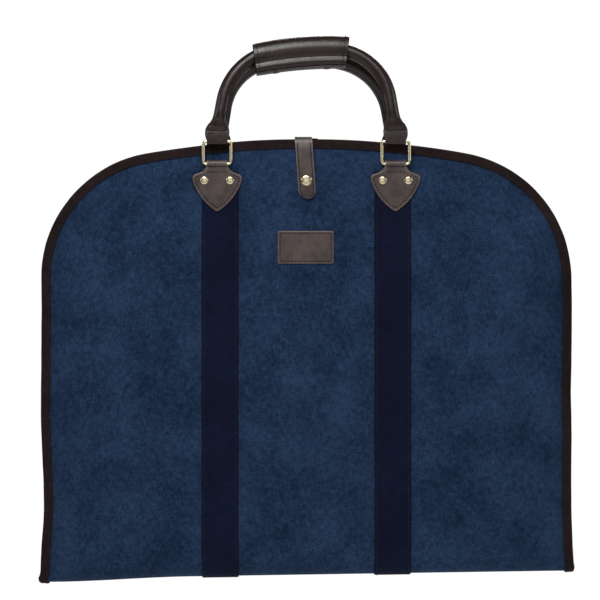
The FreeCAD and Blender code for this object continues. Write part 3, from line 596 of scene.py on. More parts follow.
@dataclass
class Wardrobe:
    """Every finish of the bag, built once."""

    canvas: Cloth = Cloth("washed_canvas", (15, 33, 57), (38, 58, 87), Weave.CANVAS,
                          0.9 * MM, 0.25 * MM, 0.62)
    lining: Cloth = Cloth("inner_canvas", (14, 27, 46), (26, 44, 70), Weave.CANVAS,
                          0.9 * MM, 0.25 * MM, 0.42)
    webbing: Cloth = Cloth("navy_webbing", (7, 12, 31), (12, 21, 47), Weave.RIBBED,
                           1.7 * MM, 0.4 * MM, 0.16)
    binding: Cloth = Cloth("brown_binding", (24, 15, 15), (40, 28, 28), Weave.TAPE,
                           1.1 * MM, 0.3 * MM, 0.25)
    zip_tape: Cloth = Cloth("zip_tape", (15, 18, 28), (24, 29, 42), Weave.TAPE,
                            0.8 * MM, 0.2 * MM, 0.2)
    leather: Leather = Leather("brown_leather", (48, 37, 35), (80, 67, 64), (108, 90, 82), 0.4)
    handle: Leather = Leather("handle_leather", (25, 14, 12), (36, 22, 19), (58, 42, 36), 0.3,
                              relief=0.03, shine=0.36)
    antique: Brass = Brass("antique_metal", (58, 46, 38), (30, 22, 18), 0.3)
    ring: Brass = Brass("brass_rings", (238, 224, 186), (206, 184, 134), 0.17)
    fitting: Brass = Brass("brass_fittings", (236, 222, 188), (204, 182, 136), 0.2)
    zip_metal: Brass = Brass("brass_zip", (206, 184, 130), (150, 128, 84), 0.32)
    dark_thread: Thread = Thread("dark_thread", (16, 11, 11), (7, 5, 5), 0.5 * MM)
    navy_thread: Thread = Thread("navy_thread", (15, 20, 38), (6, 9, 20), 0.5 * MM)
    rope: Thread = Thread("handle_rope", (206, 192, 160), (150, 134, 104), 2.6 * MM)
    made: dict[str, bpy.types.Material] = field(default_factory=dict)

    def dress(self, obj: bpy.types.Object, finish: Cloth | Leather | Brass | Thread) -> None:
        """Give a piece one finish."""
        if finish.name not in self.made:
            self.made[finish.name] = finish.make()
        obj.data.materials.clear()
        obj.data.materials.append(self.made[finish.name])


# ------------------------------------------------------------------ what carries each piece

@dataclass(frozen=True)
class Crossing:
    """Cloth that turns smoothly from one body to the next."""
    # """Two bodies that a piece of cloth spans, and where its bend starts and ends; these are only
    # recorded."""

    first: str
    second: str
    start: tuple[float, float, float]
    end: tuple[float, float, float]


Carrier = str | Crossing


@dataclass
class Tailor:
    """Dresses pieces, puts them on their bodies or bakes them in place, and logs their face
    counts.
    """

    wardrobe: Wardrobe
    count: int = 0

    def fit(self, obj: bpy.types.Object, carrier: Carrier,
            finish: Cloth | Leather | Brass | Thread,
            stands_for: tuple[str, ...] = ()) -> bpy.types.Object:
        """Dress a piece and put it on its body; a piece on a crossing only has its place baked in.

        Args:
            obj: the finished mesh.
            carrier: a body's name, or the crossing between two.
            finish: what it is made of.
            stands_for: CAD nodes that it replaces.
        Returns:
            The same object.
        """
        self.wardrobe.dress(obj, finish)
        if isinstance(carrier, Crossing):
            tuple(carrier.start)
            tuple(carrier.end)
            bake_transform(obj)
        else:
            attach(obj, carrier)
        if stands_for:
            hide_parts(*stands_for)
        self.count += 1
        LOG.info("%s: %d faces", obj.name, len(obj.data.polygons))
        return obj


@dataclass
class Stitching:
    """Rows of single stitches, all the same shape."""

    length: float = 2.6 * MM
    width: float = 1.35 * MM
    rise: float = 0.9 * MM
    pitch: float = 3.6 * MM
    frames: list[Matrix] = field(default_factory=list)

    def row(self, distance: float, place: Callable[[float], Vector], out: Vector) -> None:
        """Add a row of stitches.

        Args:
            distance: metres that the row runs.
            place: a point of the row, from its distance along it.
            out: rough direction out of the surface.
        """
        count = max(int(distance / self.pitch), 1)
        step = distance / count
        size = (self.length, self.width, self.rise)
        for k in range(count):
            first = place((k + 0.5) * step - self.length / 2)
            last = place((k + 0.5) * step + self.length / 2)
            self.frames.append(axes_at((first + last) / 2, last - first, out, size))

    def along(self, points: list[Vector], out: Vector) -> None:
        """Add a row of stitches along a line of points."""
        marks = [0.0]
        for first, last in zip(points, points[1:]):
            marks.append(marks[-1] + (last - first).length)

        def place(run: float) -> Vector:
            """Point of the line at a distance along it."""
            run = min(max(run, 0.0), marks[-1])
            k = next((i for i in range(1, len(marks)) if marks[i] >= run), len(marks) - 1)
            share = (run - marks[k - 1]) / max(marks[k] - marks[k - 1], 1e-9)
            return points[k - 1].lerp(points[k], share)

        self.row(marks[-1], place, out)

    def sewn(self, name: str) -> bpy.types.Object:
        """Make all rows as one mesh.

        Args:
            name: the piece's name.
        Returns:
            The stitches.
        """
        deselect()
        bpy.ops.mesh.primitive_uv_sphere_add(segments=6, ring_count=4, radius=0.5)
        return copies(name, named("stitch"), self.frames)


# ------------------------------------------------------------------ the folded bag

class Half(Enum):
    """The two halves of the folded bag."""

    FRONT = "front"
    REAR = "rear"

    @property
    def body(self) -> str:
        """Name of the half's CAD body."""
        return f"{self.value}_half"

    @property
    def sign(self) -> int:
        """1 for the front half and -1 for the rear one."""
        return 1 if self is Half.FRONT else -1

    def outward(self, lean: float = 0.0) -> Vector:
        """Direction out of the half's outer face, leaning up by a share."""
        return Vector((0, -self.sign, lean))

    def nodes(self, own: str, fold: str = "") -> tuple[str, ...]:
        """CAD nodes that a piece replaces: its own, and at the front the fold's too.

        Args:
            own: the node's name without its half.
            fold: the fold's node of the same cloth or metal, if this piece takes it.
        Returns:
            The nodes' names.
        """
        mine = (f"{self.value}_{own}",)
        return mine + (fold,) if fold and self is Half.FRONT else mine


class Side(IntEnum):
    """Left or right of the bag's middle, seen from the front."""

    LEFT = -1
    RIGHT = 1

    @property
    def word(self) -> str:
        """Its word in the pieces' names."""
        return self.name.lower()


@dataclass
class BagForm:
    """Outline and depth of the folded bag, shared by everything sewn to it."""

    # the outline: a wide arc with a tighter one at each end
    dome_radius: float = 1000 * MM
    corner_radius: float = 140 * MM
    # the section: thin at the edge and full inside
    edge_depth: float = 2.4 * MM
    pillow_reach: float = 36 * MM
    settle: float = 60 * MM
    # how far the sides stray near the fold
    side_from: float = 120 * MM
    flare: float = 3.2 * MM
    flare_height: float = 85 * MM
    left_pull: float = 1.8 * MM
    waist: float = 1.9 * MM
    waist_level: float = 85 * MM
    waist_reach: float = 32 * MM
    left_fill: float = 0.9 * MM
    left_fill_top: float = 200 * MM
    left_fill_reach: float = 100 * MM
    # how far the cloth hangs down near the fold, most at its left corner
    sag_height: float = 280 * MM
    slope: float = 4.6 * MM
    fold_lift: float = 0.9 * MM
    corner_sag: float = 3.6 * MM
    corner_sag_from: float = 130 * MM
    corner_sag_reach: float = 140 * MM
    # room that the bends of the cloth leave for that
    sag_room: float = 6.0 * MM
    seam_room: float = 1.0 * MM
    # where the cloth is held flat, and how soon it is loose again
    patch_half: tuple[float, float] = (30 * MM, 35 * MM)
    patch_level: float = -105 * MM
    chape_middle: float = 98 * MM
    chape_half: float = 20 * MM
    chape_level: float = -60 * MM
    held_reach: float = 20 * MM
    loose_reach: float = 60 * MM
    fold_reach: float = 50 * MM
    pucker_reach: float = 30 * MM
    crest_reach: float = 120 * MM
    swell: Waves = Waves(1.0 * MM, 85 * MM, 3.1)
    crease: Waves = Waves(0.45 * MM, 34 * MM, 7.7)
    pucker: Waves = Waves(0.35 * MM, 14 * MM, 1.3)
    crest: Waves = Waves(0.7 * MM, 90 * MM, 5.0)
    left_edge: Waves = Waves(1.3 * MM, 85 * MM, 9.0)
    right_edge: Waves = Waves(1.3 * MM, 85 * MM, 2.0)

    def __post_init__(self) -> None:
        """Read the frame's own levels."""
        low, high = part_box("front_edge_binding")
        self.half_width = (high.x - low.x) / 2
        self.face = high.y
        self.middle = plane_between()
        self.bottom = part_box("fold_outer_panel")[0].z
        self.fold_z = self.bottom + self.middle + self.face
        self.bend = (self.middle + self.face) * math.pi / 2
        self.corner_x = self.half_width - self.corner_radius
        reach = self.dome_radius - self.corner_radius
        self.drop = math.sqrt(reach ** 2 - self.corner_x ** 2)
        self.corner_z = self.drop - self.dome_radius
        self.join_angle = math.atan2(self.drop, self.corner_x)

    def level(self, z: float) -> float:
        """Distance up a half from the fold's middle line to a height."""
        return z - self.fold_z + self.bend

    def top(self, x: float, inset: float = 0.0) -> float:
        """Height of the outline above a place across, set in by a distance."""
        x = abs(x)
        corner, dome = self.corner_radius - inset, self.dome_radius - inset
        if x > self.corner_x + corner * math.cos(self.join_angle):
            return self.corner_z + math.sqrt(max(corner ** 2 - (x - self.corner_x) ** 2, 0.0))
        return math.sqrt(dome ** 2 - x ** 2) - self.dome_radius

    def inset(self, x: float, z: float) -> float:
        """Distance in from the outline."""
        x = abs(x)
        side = self.half_width - x
        if z < self.corner_z:
            return side
        turn = math.atan2(z - self.corner_z, x - self.corner_x)
        if turn < self.join_angle:
            return self.corner_radius - math.hypot(x - self.corner_x, z - self.corner_z)
        return min(side, self.dome_radius - math.hypot(x, z + self.dome_radius))

    def depth(self, x: float, s: float) -> float:
        """Half of a half's thickness at a place."""
        z = self.fold_z + s - self.bend
        inward = max(self.inset(x, z), 0.0)
        rise = smooth(inward / self.pillow_reach)
        free = smooth((self.held_distance(x, z) - self.held_reach) / self.loose_reach)
        free *= smooth((s - self.bend) / self.fold_reach)
        loose = (self.swell.at(x, z) + self.crease.at(x, z)) * free * rise
        loose += self.pucker.at(x, z) * smooth(1 - inward / self.pucker_reach)
        return self.edge_depth + (self.face - self.edge_depth) * rise + loose

    def held_distance(self, x: float, z: float) -> float:
        """Distance from the patch and the chapes, where the cloth is held flat."""
        patch = math.hypot(max(abs(x) - self.patch_half[0], 0.0),
                           max(abs(z - self.patch_level) - self.patch_half[1], 0.0))
        chape = math.hypot(max(abs(abs(x) - self.chape_middle) - self.chape_half, 0.0),
                           max(self.chape_level - z, 0.0))
        return min(patch, chape)

    def across(self, x: float, s: float) -> float:
        """Place across of the slack cloth, whose sides flare and waver near the fold."""
        side = smooth((abs(x) - self.side_from) / (self.half_width - self.side_from))
        flare = self.flare - (self.left_pull if x < 0 else 0.0)
        flare *= smooth(1 - s / self.flare_height)
        waver = (self.right_edge if x > 0 else self.left_edge).at(s)
        wide = x + side * (math.copysign(flare, x) + waver)
        if x < 0:
            waist = self.waist * math.exp(-((s - self.waist_level) / self.waist_reach) ** 2)
            fill = self.left_fill * smooth((self.left_fill_top - s) / self.left_fill_reach)
            wide += side * (waist + fill)
        return wide

    def hang(self, x: float, s: float, z: float) -> float:
        """Height of the slack cloth, which slopes and sags near the fold."""
        sag = smooth(1 - s / self.sag_height)
        corner = self.corner_sag * smooth((-x - self.corner_sag_from) / self.corner_sag_reach)
        z += (self.slope * x / self.half_width + self.fold_lift - corner) * sag
        return z + self.crest.at(x) * smooth((z + self.crest_reach) / self.crest_reach)

    def at(self, half: Half, x: float, s: float, out: float) -> Vector:
        """Place on a half.

        Args:
            half: which half.
            x: place across.
            s: distance up from the fold's middle line.
            out: distance outwards from the half's own middle surface.
        Returns:
            The point in the frame.
        """
        edge = self.depth(math.copysign(min(abs(x), self.half_width), x), max(s, self.bend))
        centre = self.bottom + self.middle + edge
        above = s - self.bend
        radius = self.middle + out
        if above >= 0:
            lift = (centre - self.fold_z) * (1 - smooth(above / self.settle))
            y, z = self.middle - radius, self.fold_z + above + lift
        else:
            turn = s / self.bend * math.pi / 2
            y = self.middle - radius * math.sin(turn)
            z = centre - radius * math.cos(turn)
        if half is Half.REAR:
            y = 2 * self.middle - y
        return Vector((self.across(x, s), y, self.hang(x, s, z)))

    def crossing(self, half: Half, start: tuple[float, float],
                 end: tuple[float, float]) -> Crossing:
        """Bend of the cloth from a half to the fold's spine.

        Args:
            half: which half.
            start: y and z on the front half where the bend starts.
            end: y and z where it ends.
        Returns:
            The crossing, mirrored for the rear half.
        """
        points = [(0.0, self.middle + half.sign * (y - self.middle), z) for y, z in (start, end)]
        if half is Half.FRONT:
            return Crossing("front_half", "fold_spine", points[0], points[1])
        return Crossing("fold_spine", "rear_half", points[1], points[0])

    def outer_crossing(self, half: Half) -> Crossing:
        """Bend of the outer cloth."""
        end = (self.middle - self.sag_room / 2, self.bottom + self.sag_room / 2)
        return self.crossing(half, (-self.face, self.fold_z), end)

    def inner_crossing(self, half: Half, side: Side = Side.LEFT) -> Crossing:
        """Bend of the inner cloth, higher on the right where the cloth rides up."""
        seam = self.fold_z - self.middle + self.face
        room = self.sag_room if side is Side.RIGHT else self.seam_room
        return self.crossing(half, (self.face, self.fold_z + room), (self.middle, seam + room))

    def edge_crossing(self, half: Half) -> Crossing:
        """Bend of the edge binding."""
        start, reach = (1.5 * MM, self.fold_z), 9.75 * MM - self.sag_room / 2
        return self.crossing(half, start, (start[0] + reach, start[1] - reach))


@dataclass
class CanvasPanels:
    """Outer and inner canvas of both halves."""

    form: BagForm
    tuck: float = 3 * MM
    thickness: float = 1.1 * MM
    zip_opening: float = 13 * MM
    zip_top: float = -40 * MM
    top_gap: float = 0.3 * MM
    area_steps: int = 200

    def cut_area(self, inner: float) -> float:
        """Flat area of a panel from a place across to the outline, one side."""
        step = (self.form.half_width - self.tuck - inner) / self.area_steps
        places = (inner + (k + 0.5) * step for k in range(self.area_steps))
        return sum(self.form.level(self.form.top(x, self.tuck)) * step for x in places)

    def outer(self, half: Half) -> bpy.types.Object:
        """Outer canvas of a half, down and round to the fold's middle line.

        Args:
            half: which half.
        Returns:
            The panel.
        """
        form = self.form
        reach = form.half_width - self.tuck

        def place(u: float, v: float) -> Vector:
            """Point of the panel."""
            x = (2 * u - 1) * reach
            s = v * form.level(form.top(x, self.tuck))
            return form.at(half, x, s, form.depth(x, s) - self.thickness / 2)

        size = (2 * reach, form.level(0.0))
        return laid_grid(f"{half.value}_canvas", 130, 118, place, size, self.thickness)

    def inner(self, half: Half, side: Side) -> bpy.types.Object:
        """Inner canvas on one side of the zip.

        Args:
            half: which half.
            side: which side of the zip.
        Returns:
            The panel.
        """
        form = self.form
        reach = form.half_width - self.tuck

        def place(u: float, v: float) -> Vector:
            """Point of the panel."""
            level = v * form.level(0.0)
            near = self.zip_opening if level < form.level(self.zip_top) else self.top_gap
            x = near + u * (reach - near)
            s = min(level, form.level(form.top(x, self.tuck)))
            return form.at(half, side * x, s, self.thickness / 2 - form.depth(x, s))

        name = f"{half.value}_inner_canvas_{side.word}"
        return laid_grid(name, 60, 110, place, (reach, form.level(0.0)), self.thickness)

    def build(self, tailor: Tailor) -> None:
        """Make and fit all six panels."""
        form, wardrobe = self.form, tailor.wardrobe
        width, length = 2 * (form.half_width - self.tuck), form.level(0.0)
        for half in Half:
            panel = tailor.fit(self.outer(half), form.outer_crossing(half),
                               wardrobe.canvas, half.nodes("outer_panel", "fold_outer_panel"))
            2 * self.cut_area(0.0)
            for side in Side:
                fold = "fold_inner_panels" if side is Side.LEFT else ""
                inner = tailor.fit(self.inner(half, side), form.inner_crossing(half, side),
                                   wardrobe.lining,
                                   half.nodes(f"inner_panel_{side.word}", fold))
                self.cut_area(self.zip_opening)


Mark = tuple[float, float, float, float]


@dataclass
class EdgeBinding:
    """Tape folded over the outline of a half, with its row of stitches."""

    form: BagForm
    width: float = 10 * MM
    lift: float = 0.75 * MM
    thickness: float = 1.3 * MM
    stitch_inset: float = 8.0 * MM
    side_rows: int = 92
    corner_rows: int = 40
    dome_rows: int = 80
    turn_inset: float = 2.2 * MM
    flat_share: float = 0.4
    bunch_level: float = 9 * MM
    bunch_reach: float = 11 * MM
    bunch_left: float = 2.9 * MM
    bunch_right: float = 1.4 * MM
    waver: Waves = Waves(0.45 * MM, 20 * MM, 4.4)

    def outline(self) -> list[Mark]:
        """Places round the outline, from fold to fold.

        Returns:
            Across, up (as a distance from the fold), and the inward direction of each.
        """
        form, rows = self.form, self.side_rows
        side_end = form.level(form.corner_z)
        marks = [(-form.half_width, side_end * k / rows, 1.0, 0.0) for k in range(rows)]
        for centre_x, radius, first, last, count in (
                (-form.corner_x, form.corner_radius, math.pi, math.pi - form.join_angle,
                 self.corner_rows),
                (0.0, form.dome_radius, math.pi - form.join_angle, form.join_angle,
                 self.dome_rows),
                (form.corner_x, form.corner_radius, form.join_angle, 0.0, self.corner_rows)):
            centre_z = -form.dome_radius if centre_x == 0 else form.corner_z
            for k in range(count):
                turn = first + (last - first) * k / count
                x = centre_x + radius * math.cos(turn)
                z = centre_z + radius * math.sin(turn)
                marks.append((x, form.level(z), -math.cos(turn), -math.sin(turn)))
        for k in range(rows + 1):
            marks.append((form.half_width, side_end * (1 - k / rows), -1.0, 0.0))
        return marks

    def on_edge(self, half: Half, mark: Mark, inset: float, out: float) -> Vector:
        """Point beside the outline, with the bunched cloth at the fold's corners."""
        x, s, in_x, in_z = mark
        bunch = math.exp(-((s - self.bunch_level) / self.bunch_reach) ** 2)
        bunch *= self.bunch_left if x < 0 else self.bunch_right
        inward = inset - bunch - self.waver.at(s, x)
        return self.form.at(half, x + in_x * inward, s + in_z * inset, out)

    def section(self, mark: Mark, share: float) -> tuple[float, float]:
        """Inset and outward place of the tape's section, from front face to back face."""
        form = self.form
        x, s, in_x, in_z = mark
        turn, flat = self.turn_inset, self.flat_share
        if share < flat or share > 1 - flat:
            run = (share if share < flat else 1 - share) / flat
            inset = self.width + (turn - self.width) * run
            depth = form.depth(x + in_x * inset, s + in_z * inset) + self.lift
            return inset, math.copysign(depth, 0.5 - share)
        angle = (share - flat) / (1 - 2 * flat) * math.pi
        depth = form.depth(x + in_x * turn, s + in_z * turn) + self.lift
        return turn * (1 - math.sin(angle)) + 0.2 * MM, depth * math.cos(angle)

    def tape(self, half: Half) -> bpy.types.Object:
        """Tape of a half.

        Args:
            half: which half.
        Returns:
            The tape as a closed mesh.
        """
        marks = self.outline()
        last = len(marks) - 1

        def place(u: float, v: float) -> Vector:
            """Point of the tape."""
            mark = marks[min(round(v * last), last)]
            inset, out = self.section(mark, u)
            return self.on_edge(half, mark, inset, out)

        return laid_grid(f"{half.value}_binding", 18, last, place, (0.028, 1.72),
                         self.thickness)

    def sewing(self, half: Half) -> bpy.types.Object:
        """Stitches along the tape's inner edge, on its outer face."""
        stitches = Stitching(pitch=4.4 * MM, length=3.0 * MM)
        points = []
        for mark in self.outline():
            x, s, in_x, in_z = mark
            inset = self.stitch_inset
            depth = self.form.depth(x + in_x * inset, s + in_z * inset)
            out = depth + self.lift + self.thickness / 2 + HAIR
            points.append(self.on_edge(half, mark, inset, out))
        stitches.along(points, half.outward(-0.001))
        return stitches.sewn(f"{half.value}_binding_stitches")

    def slot_rim(self) -> bpy.types.Object:
        """Sewn rim of the hanger slot through the top edge."""
        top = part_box("front_edge_binding")[1].z + 0.5 * MM
        half_length, half_depth = 12 * MM, 2.3 * MM

        def place(u: float, v: float) -> Vector:
            """Point of the rim."""
            angle, tube = 2 * math.pi * v, 2 * math.pi * u
            x = half_length * math.cos(angle)
            y = half_depth * math.sin(angle)
            away = Vector((math.cos(angle), math.sin(angle), 0)) * math.cos(tube) * 0.8 * MM
            return Vector((x, y, top + 0.7 * MM * math.sin(tube))) + away

        return finish_mesh(laid_grid("hanger_slot_rim", 8, 40, place, (0.005, 0.05)))

    def build(self, tailor: Tailor) -> None:
        """Make and fit the tapes, their stitches and the slot's rim."""
        for half in Half:
            crossing = self.form.edge_crossing(half)
            tailor.fit(self.tape(half), crossing, tailor.wardrobe.binding,
                       half.nodes("edge_binding", "fold_bindings"))
            tailor.fit(self.sewing(half), crossing, tailor.wardrobe.dark_thread)
        tailor.fit(self.slot_rim(), "front_half", tailor.wardrobe.dark_thread)


@dataclass
class WebbingStraps:
    """Four ribbed straps that run from the chapes to the fold."""

    form: BagForm
    width: float = 40 * MM
    thickness: float = 1.3 * MM
    stitch_inset: float = 2.6 * MM
    stitch_top: float = -78 * MM
    stitch_marks: int = 160
    edge_drop: float = 0.35 * MM
    waver: Waves = Waves(0.35 * MM, 50 * MM, 2.2)

    def strap(self, half: Half, side: Side) -> bpy.types.Object:
        """One strap with rounded edges.

        Args:
            half: which half.
            side: left or right strap.
        Returns:
            The strap.
        """
        form = self.form
        low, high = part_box(f"{half.value}_webbing_{side.word}")
        centre, length = (low.x + high.x) / 2, form.level(high.z)

        def place(u: float, v: float) -> Vector:
            """Point of the strap."""
            s = v * length
            x = centre + (u - 0.5) * self.width + self.waver.at(s, centre)
            edge = smooth((abs(u - 0.5) - 0.44) / 0.06)
            out = form.depth(x, s) + self.thickness / 2 + 0.25 * MM - self.edge_drop * edge
            return form.at(half, x, s, out)

        name = f"{half.value}_strap_{side.word}"
        return laid_grid(name, 22, 130, place, (self.width, length), self.thickness)

    def sewing(self, half: Half) -> bpy.types.Object:
        """Two rows of stitches on each strap of a half."""
        stitches = Stitching()
        form = self.form
        for side in Side:
            low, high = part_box(f"{half.value}_webbing_{side.word}")
            for x in (low.x + self.stitch_inset, high.x - self.stitch_inset):
                points = []
                for k in range(self.stitch_marks + 1):
                    s = form.level(self.stitch_top) * k / self.stitch_marks
                    rise = form.depth(x, s) + self.thickness + 0.2 * MM
                    points.append(form.at(half, x, s, rise))
                stitches.along(points, half.outward(-0.001))
        return stitches.sewn(f"{half.value}_strap_stitches")

    def build(self, tailor: Tailor) -> None:
        """Make and fit the straps and their stitches."""
        for half in Half:
            crossing = self.form.outer_crossing(half)
            for side in Side:
                fold = "fold_webbings" if side is Side.LEFT else ""
                tailor.fit(self.strap(half, side), crossing,
                           tailor.wardrobe.webbing, half.nodes(f"webbing_{side.word}", fold))
            tailor.fit(self.sewing(half), crossing, tailor.wardrobe.navy_thread)


def arc_points(start: tuple[float, float], end: tuple[float, float], radius: float,
               count: int) -> list[tuple[float, float]]:
    """Points of an anticlockwise arc, without its end.

    Args:
        start: where it starts.
        end: where it ends.
        radius: its radius.
        count: how many points.
    Returns:
        The points.
    """
    chord = Vector(end) - Vector(start)
    rise = math.sqrt(max(radius ** 2 - (chord.length / 2) ** 2, 0.0))
    centre = (Vector(start) + Vector(end)) / 2 + Vector((-chord.y, chord.x)).normalized() * rise
    first = math.atan2(start[1] - centre.y, start[0] - centre.x)
    last = math.atan2(end[1] - centre.y, end[0] - centre.x)
    last += 2 * math.pi if last < first else 0.0
    turns = [first + (last - first) * k / count for k in range(count)]
    return [(centre.x + radius * math.cos(t), centre.y + radius * math.sin(t)) for t in turns]


def softened(corners: list[tuple[float, float]], step: float,
             passes: int) -> list[tuple[float, float]]:
    """Divide a closed outline evenly and round its corners.

    Args:
        corners: the outline's corners.
        step: distance between points.
        passes: how often each point moves to the mean of its neighbours.
    Returns:
        The new outline.
    """
    points: list[tuple[float, float]] = []
    for (x0, z0), (x1, z1) in zip(corners, corners[1:] + corners[:1]):
        count = max(int(math.hypot(x1 - x0, z1 - z0) / step), 1)
        points.extend((x0 + (x1 - x0) * k / count, z0 + (z1 - z0) * k / count)
                      for k in range(count))
    for _ in range(passes):
        around = zip(points[-1:] + points[:-1], points, points[1:] + points[:1])
        points = [((a[0] + 2 * b[0] + c[0]) / 4, (a[1] + 2 * b[1] + c[1]) / 4)
                  for a, b, c in around]
    return points


@dataclass
class Chape:
    """Leather shield with a loop round a ring's lower bar."""

    half: Half
    side: Side
    width: float = 54.7 * MM
    neck: float = 32 * MM
    shoulder: float = -40 * MM
    point: float = -80 * MM
    loop_width: float = 22.6 * MM
    neck_top: float = -32.5 * MM
    leather: float = 2 * MM

    def __post_init__(self) -> None:
        """Read the chape's and its ring's places."""
        word = self.side.word
        self.centre = middle_of(f"{self.half.value}_chape_{word}").x
        low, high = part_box(f"front_chape_{word}")
        self.bar_y = low.y + 4 * MM
        self.bar_z = high.z - 4 * MM
        self.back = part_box(f"front_webbing_{word}")[0].y - 0.25 * MM
        self.mirror = 2 * plane_between()

    def put(self, x: float, y: float, z: float) -> Vector:
        """Point of the front chape, moved to this chape's own half."""
        if self.half is Half.REAR:
            return Vector((self.centre + x, self.mirror - y, z))
        return Vector((self.centre + x, y, z))

    def outline(self, shrink: float = 0.0) -> list[tuple[float, float]]:
        """Shield's outline, set in by a distance."""
        half, neck = self.width / 2 - shrink, self.neck / 2 - shrink
        hip = self.shoulder - 4 * MM
        right = arc_points((0.0, self.point + shrink * 1.35), (half, hip), 60 * MM, 14)
        right += [(half, hip), (half, self.shoulder - shrink), (neck, self.shoulder + 4 * MM),
                  (self.loop_width / 2 + 2 * MM - shrink, self.neck_top)]
        left = [(-x, z) for x, z in reversed(right) if abs(x) > 1e-9]
        return right + left

    def shield(self) -> bpy.types.Object:
        """The shield itself."""
        points = softened(self.outline(), 1.4 * MM, 3)
        flat = [self.put(x, self.back, z) for x, z in points]
        if self.half is Half.REAR:
            flat.reverse()
        return plate("shield", flat, self.half.outward(), self.leather, 0.9 * MM, 0.7 * MM)

    def loop(self) -> bpy.types.Object:
        """Band from the shield's neck up round the bar and down behind it."""
        radius = 3.0 * MM
        front, rear = self.back - self.leather, self.back
        knots = [(front + 0.9 * MM, self.neck_top - 4 * MM),
                 (front + 0.3 * MM, self.neck_top - 1.5 * MM),
                 (front - 1.3 * MM, self.bar_z - 3.6 * MM)]
        for degrees in range(195, -31, -25):
            turn = math.radians(degrees)
            knots.append((self.bar_y - radius * math.cos(turn),
                          self.bar_z + radius * math.sin(turn)))
        knots += [(rear + 0.2 * MM, self.bar_z - 5 * MM),
                  (rear + 1.0 * MM, self.neck_top - 6 * MM)]

        def place(u: float, v: float) -> Vector:
            """Point of the band."""
            y, z = curve_through(knots, v)
            spread = smooth((self.bar_z - 1.5 * MM - z) / (7 * MM)) if v < 0.5 else 0.0
            width = self.loop_width + (self.neck - 2 * MM - self.loop_width) * spread
            return self.put((u - 0.5) * width, y, z)

        band = laid_grid("loop", 12, 48, place, (self.loop_width, 0.03), self.leather * 0.9)
        mark_wear(band, [
            smooth((abs(v.co.x - self.centre) - self.loop_width * 0.42) / (1.2 * MM))
            for v in band.data.vertices])
        return band

    def sewing(self) -> bpy.types.Object:
        """Stitches round the shield's edge and across its neck."""
        stitches = Stitching(pitch=3.4 * MM, length=2.5 * MM)
        out = self.half.outward(0.001)
        face = self.back - self.leather - HAIR
        rim = softened(self.outline(2.9 * MM), 1.2 * MM, 3)
        ring = [self.put(x, face, z) for x, z in rim if z < self.shoulder + 2.0 * MM]
        cut = max(range(len(ring)), key=lambda k: (ring[k] - ring[k - 1]).length)
        stitches.along(ring[cut:] + ring[:cut], out)
        row_z = self.shoulder + 3.6 * MM
        stitches.along([self.put(x, face, row_z) for x in (-11.5 * MM, 11.5 * MM)], out)
        return stitches.sewn(f"{self.half.value}_chape_stitches_{self.side.word}")

    def build(self, tailor: Tailor) -> None:
        """Make and fit the chape and its stitches."""
        body, word = self.half.body, self.side.word
        whole = join(f"{self.half.value}_shield_{word}", [self.shield(), self.loop()])
        tailor.fit(whole, body, tailor.wardrobe.leather,
                   self.half.nodes(f"chape_{word}"))
        tailor.fit(self.sewing(), body, tailor.wardrobe.dark_thread)


# ------------------------------------------------------------------ metal fittings

Profile = list[tuple[float, float]]


def turned(name: str, profile: Profile, around: int = 28) -> bpy.types.Object:
    """Turn a profile of (radius, rise) about the Z axis.

    Args:
        name: the piece's name.
        profile: radius and rise of each ring, from the crown down.
        around: faces round it.
    Returns:
        The closed shape about the origin.
    """
    steps = len(profile) - 1

    def place(u: float, v: float) -> Vector:
        """Point of the turned shape."""
        radius, rise = profile[min(round(v * steps), steps)]
        turn = 2 * math.pi * u
        return Vector((radius * math.cos(turn), radius * math.sin(turn), rise))

    return finish_mesh(laid_grid(name, around, steps, place, (0.01, 0.01)), 35.0)


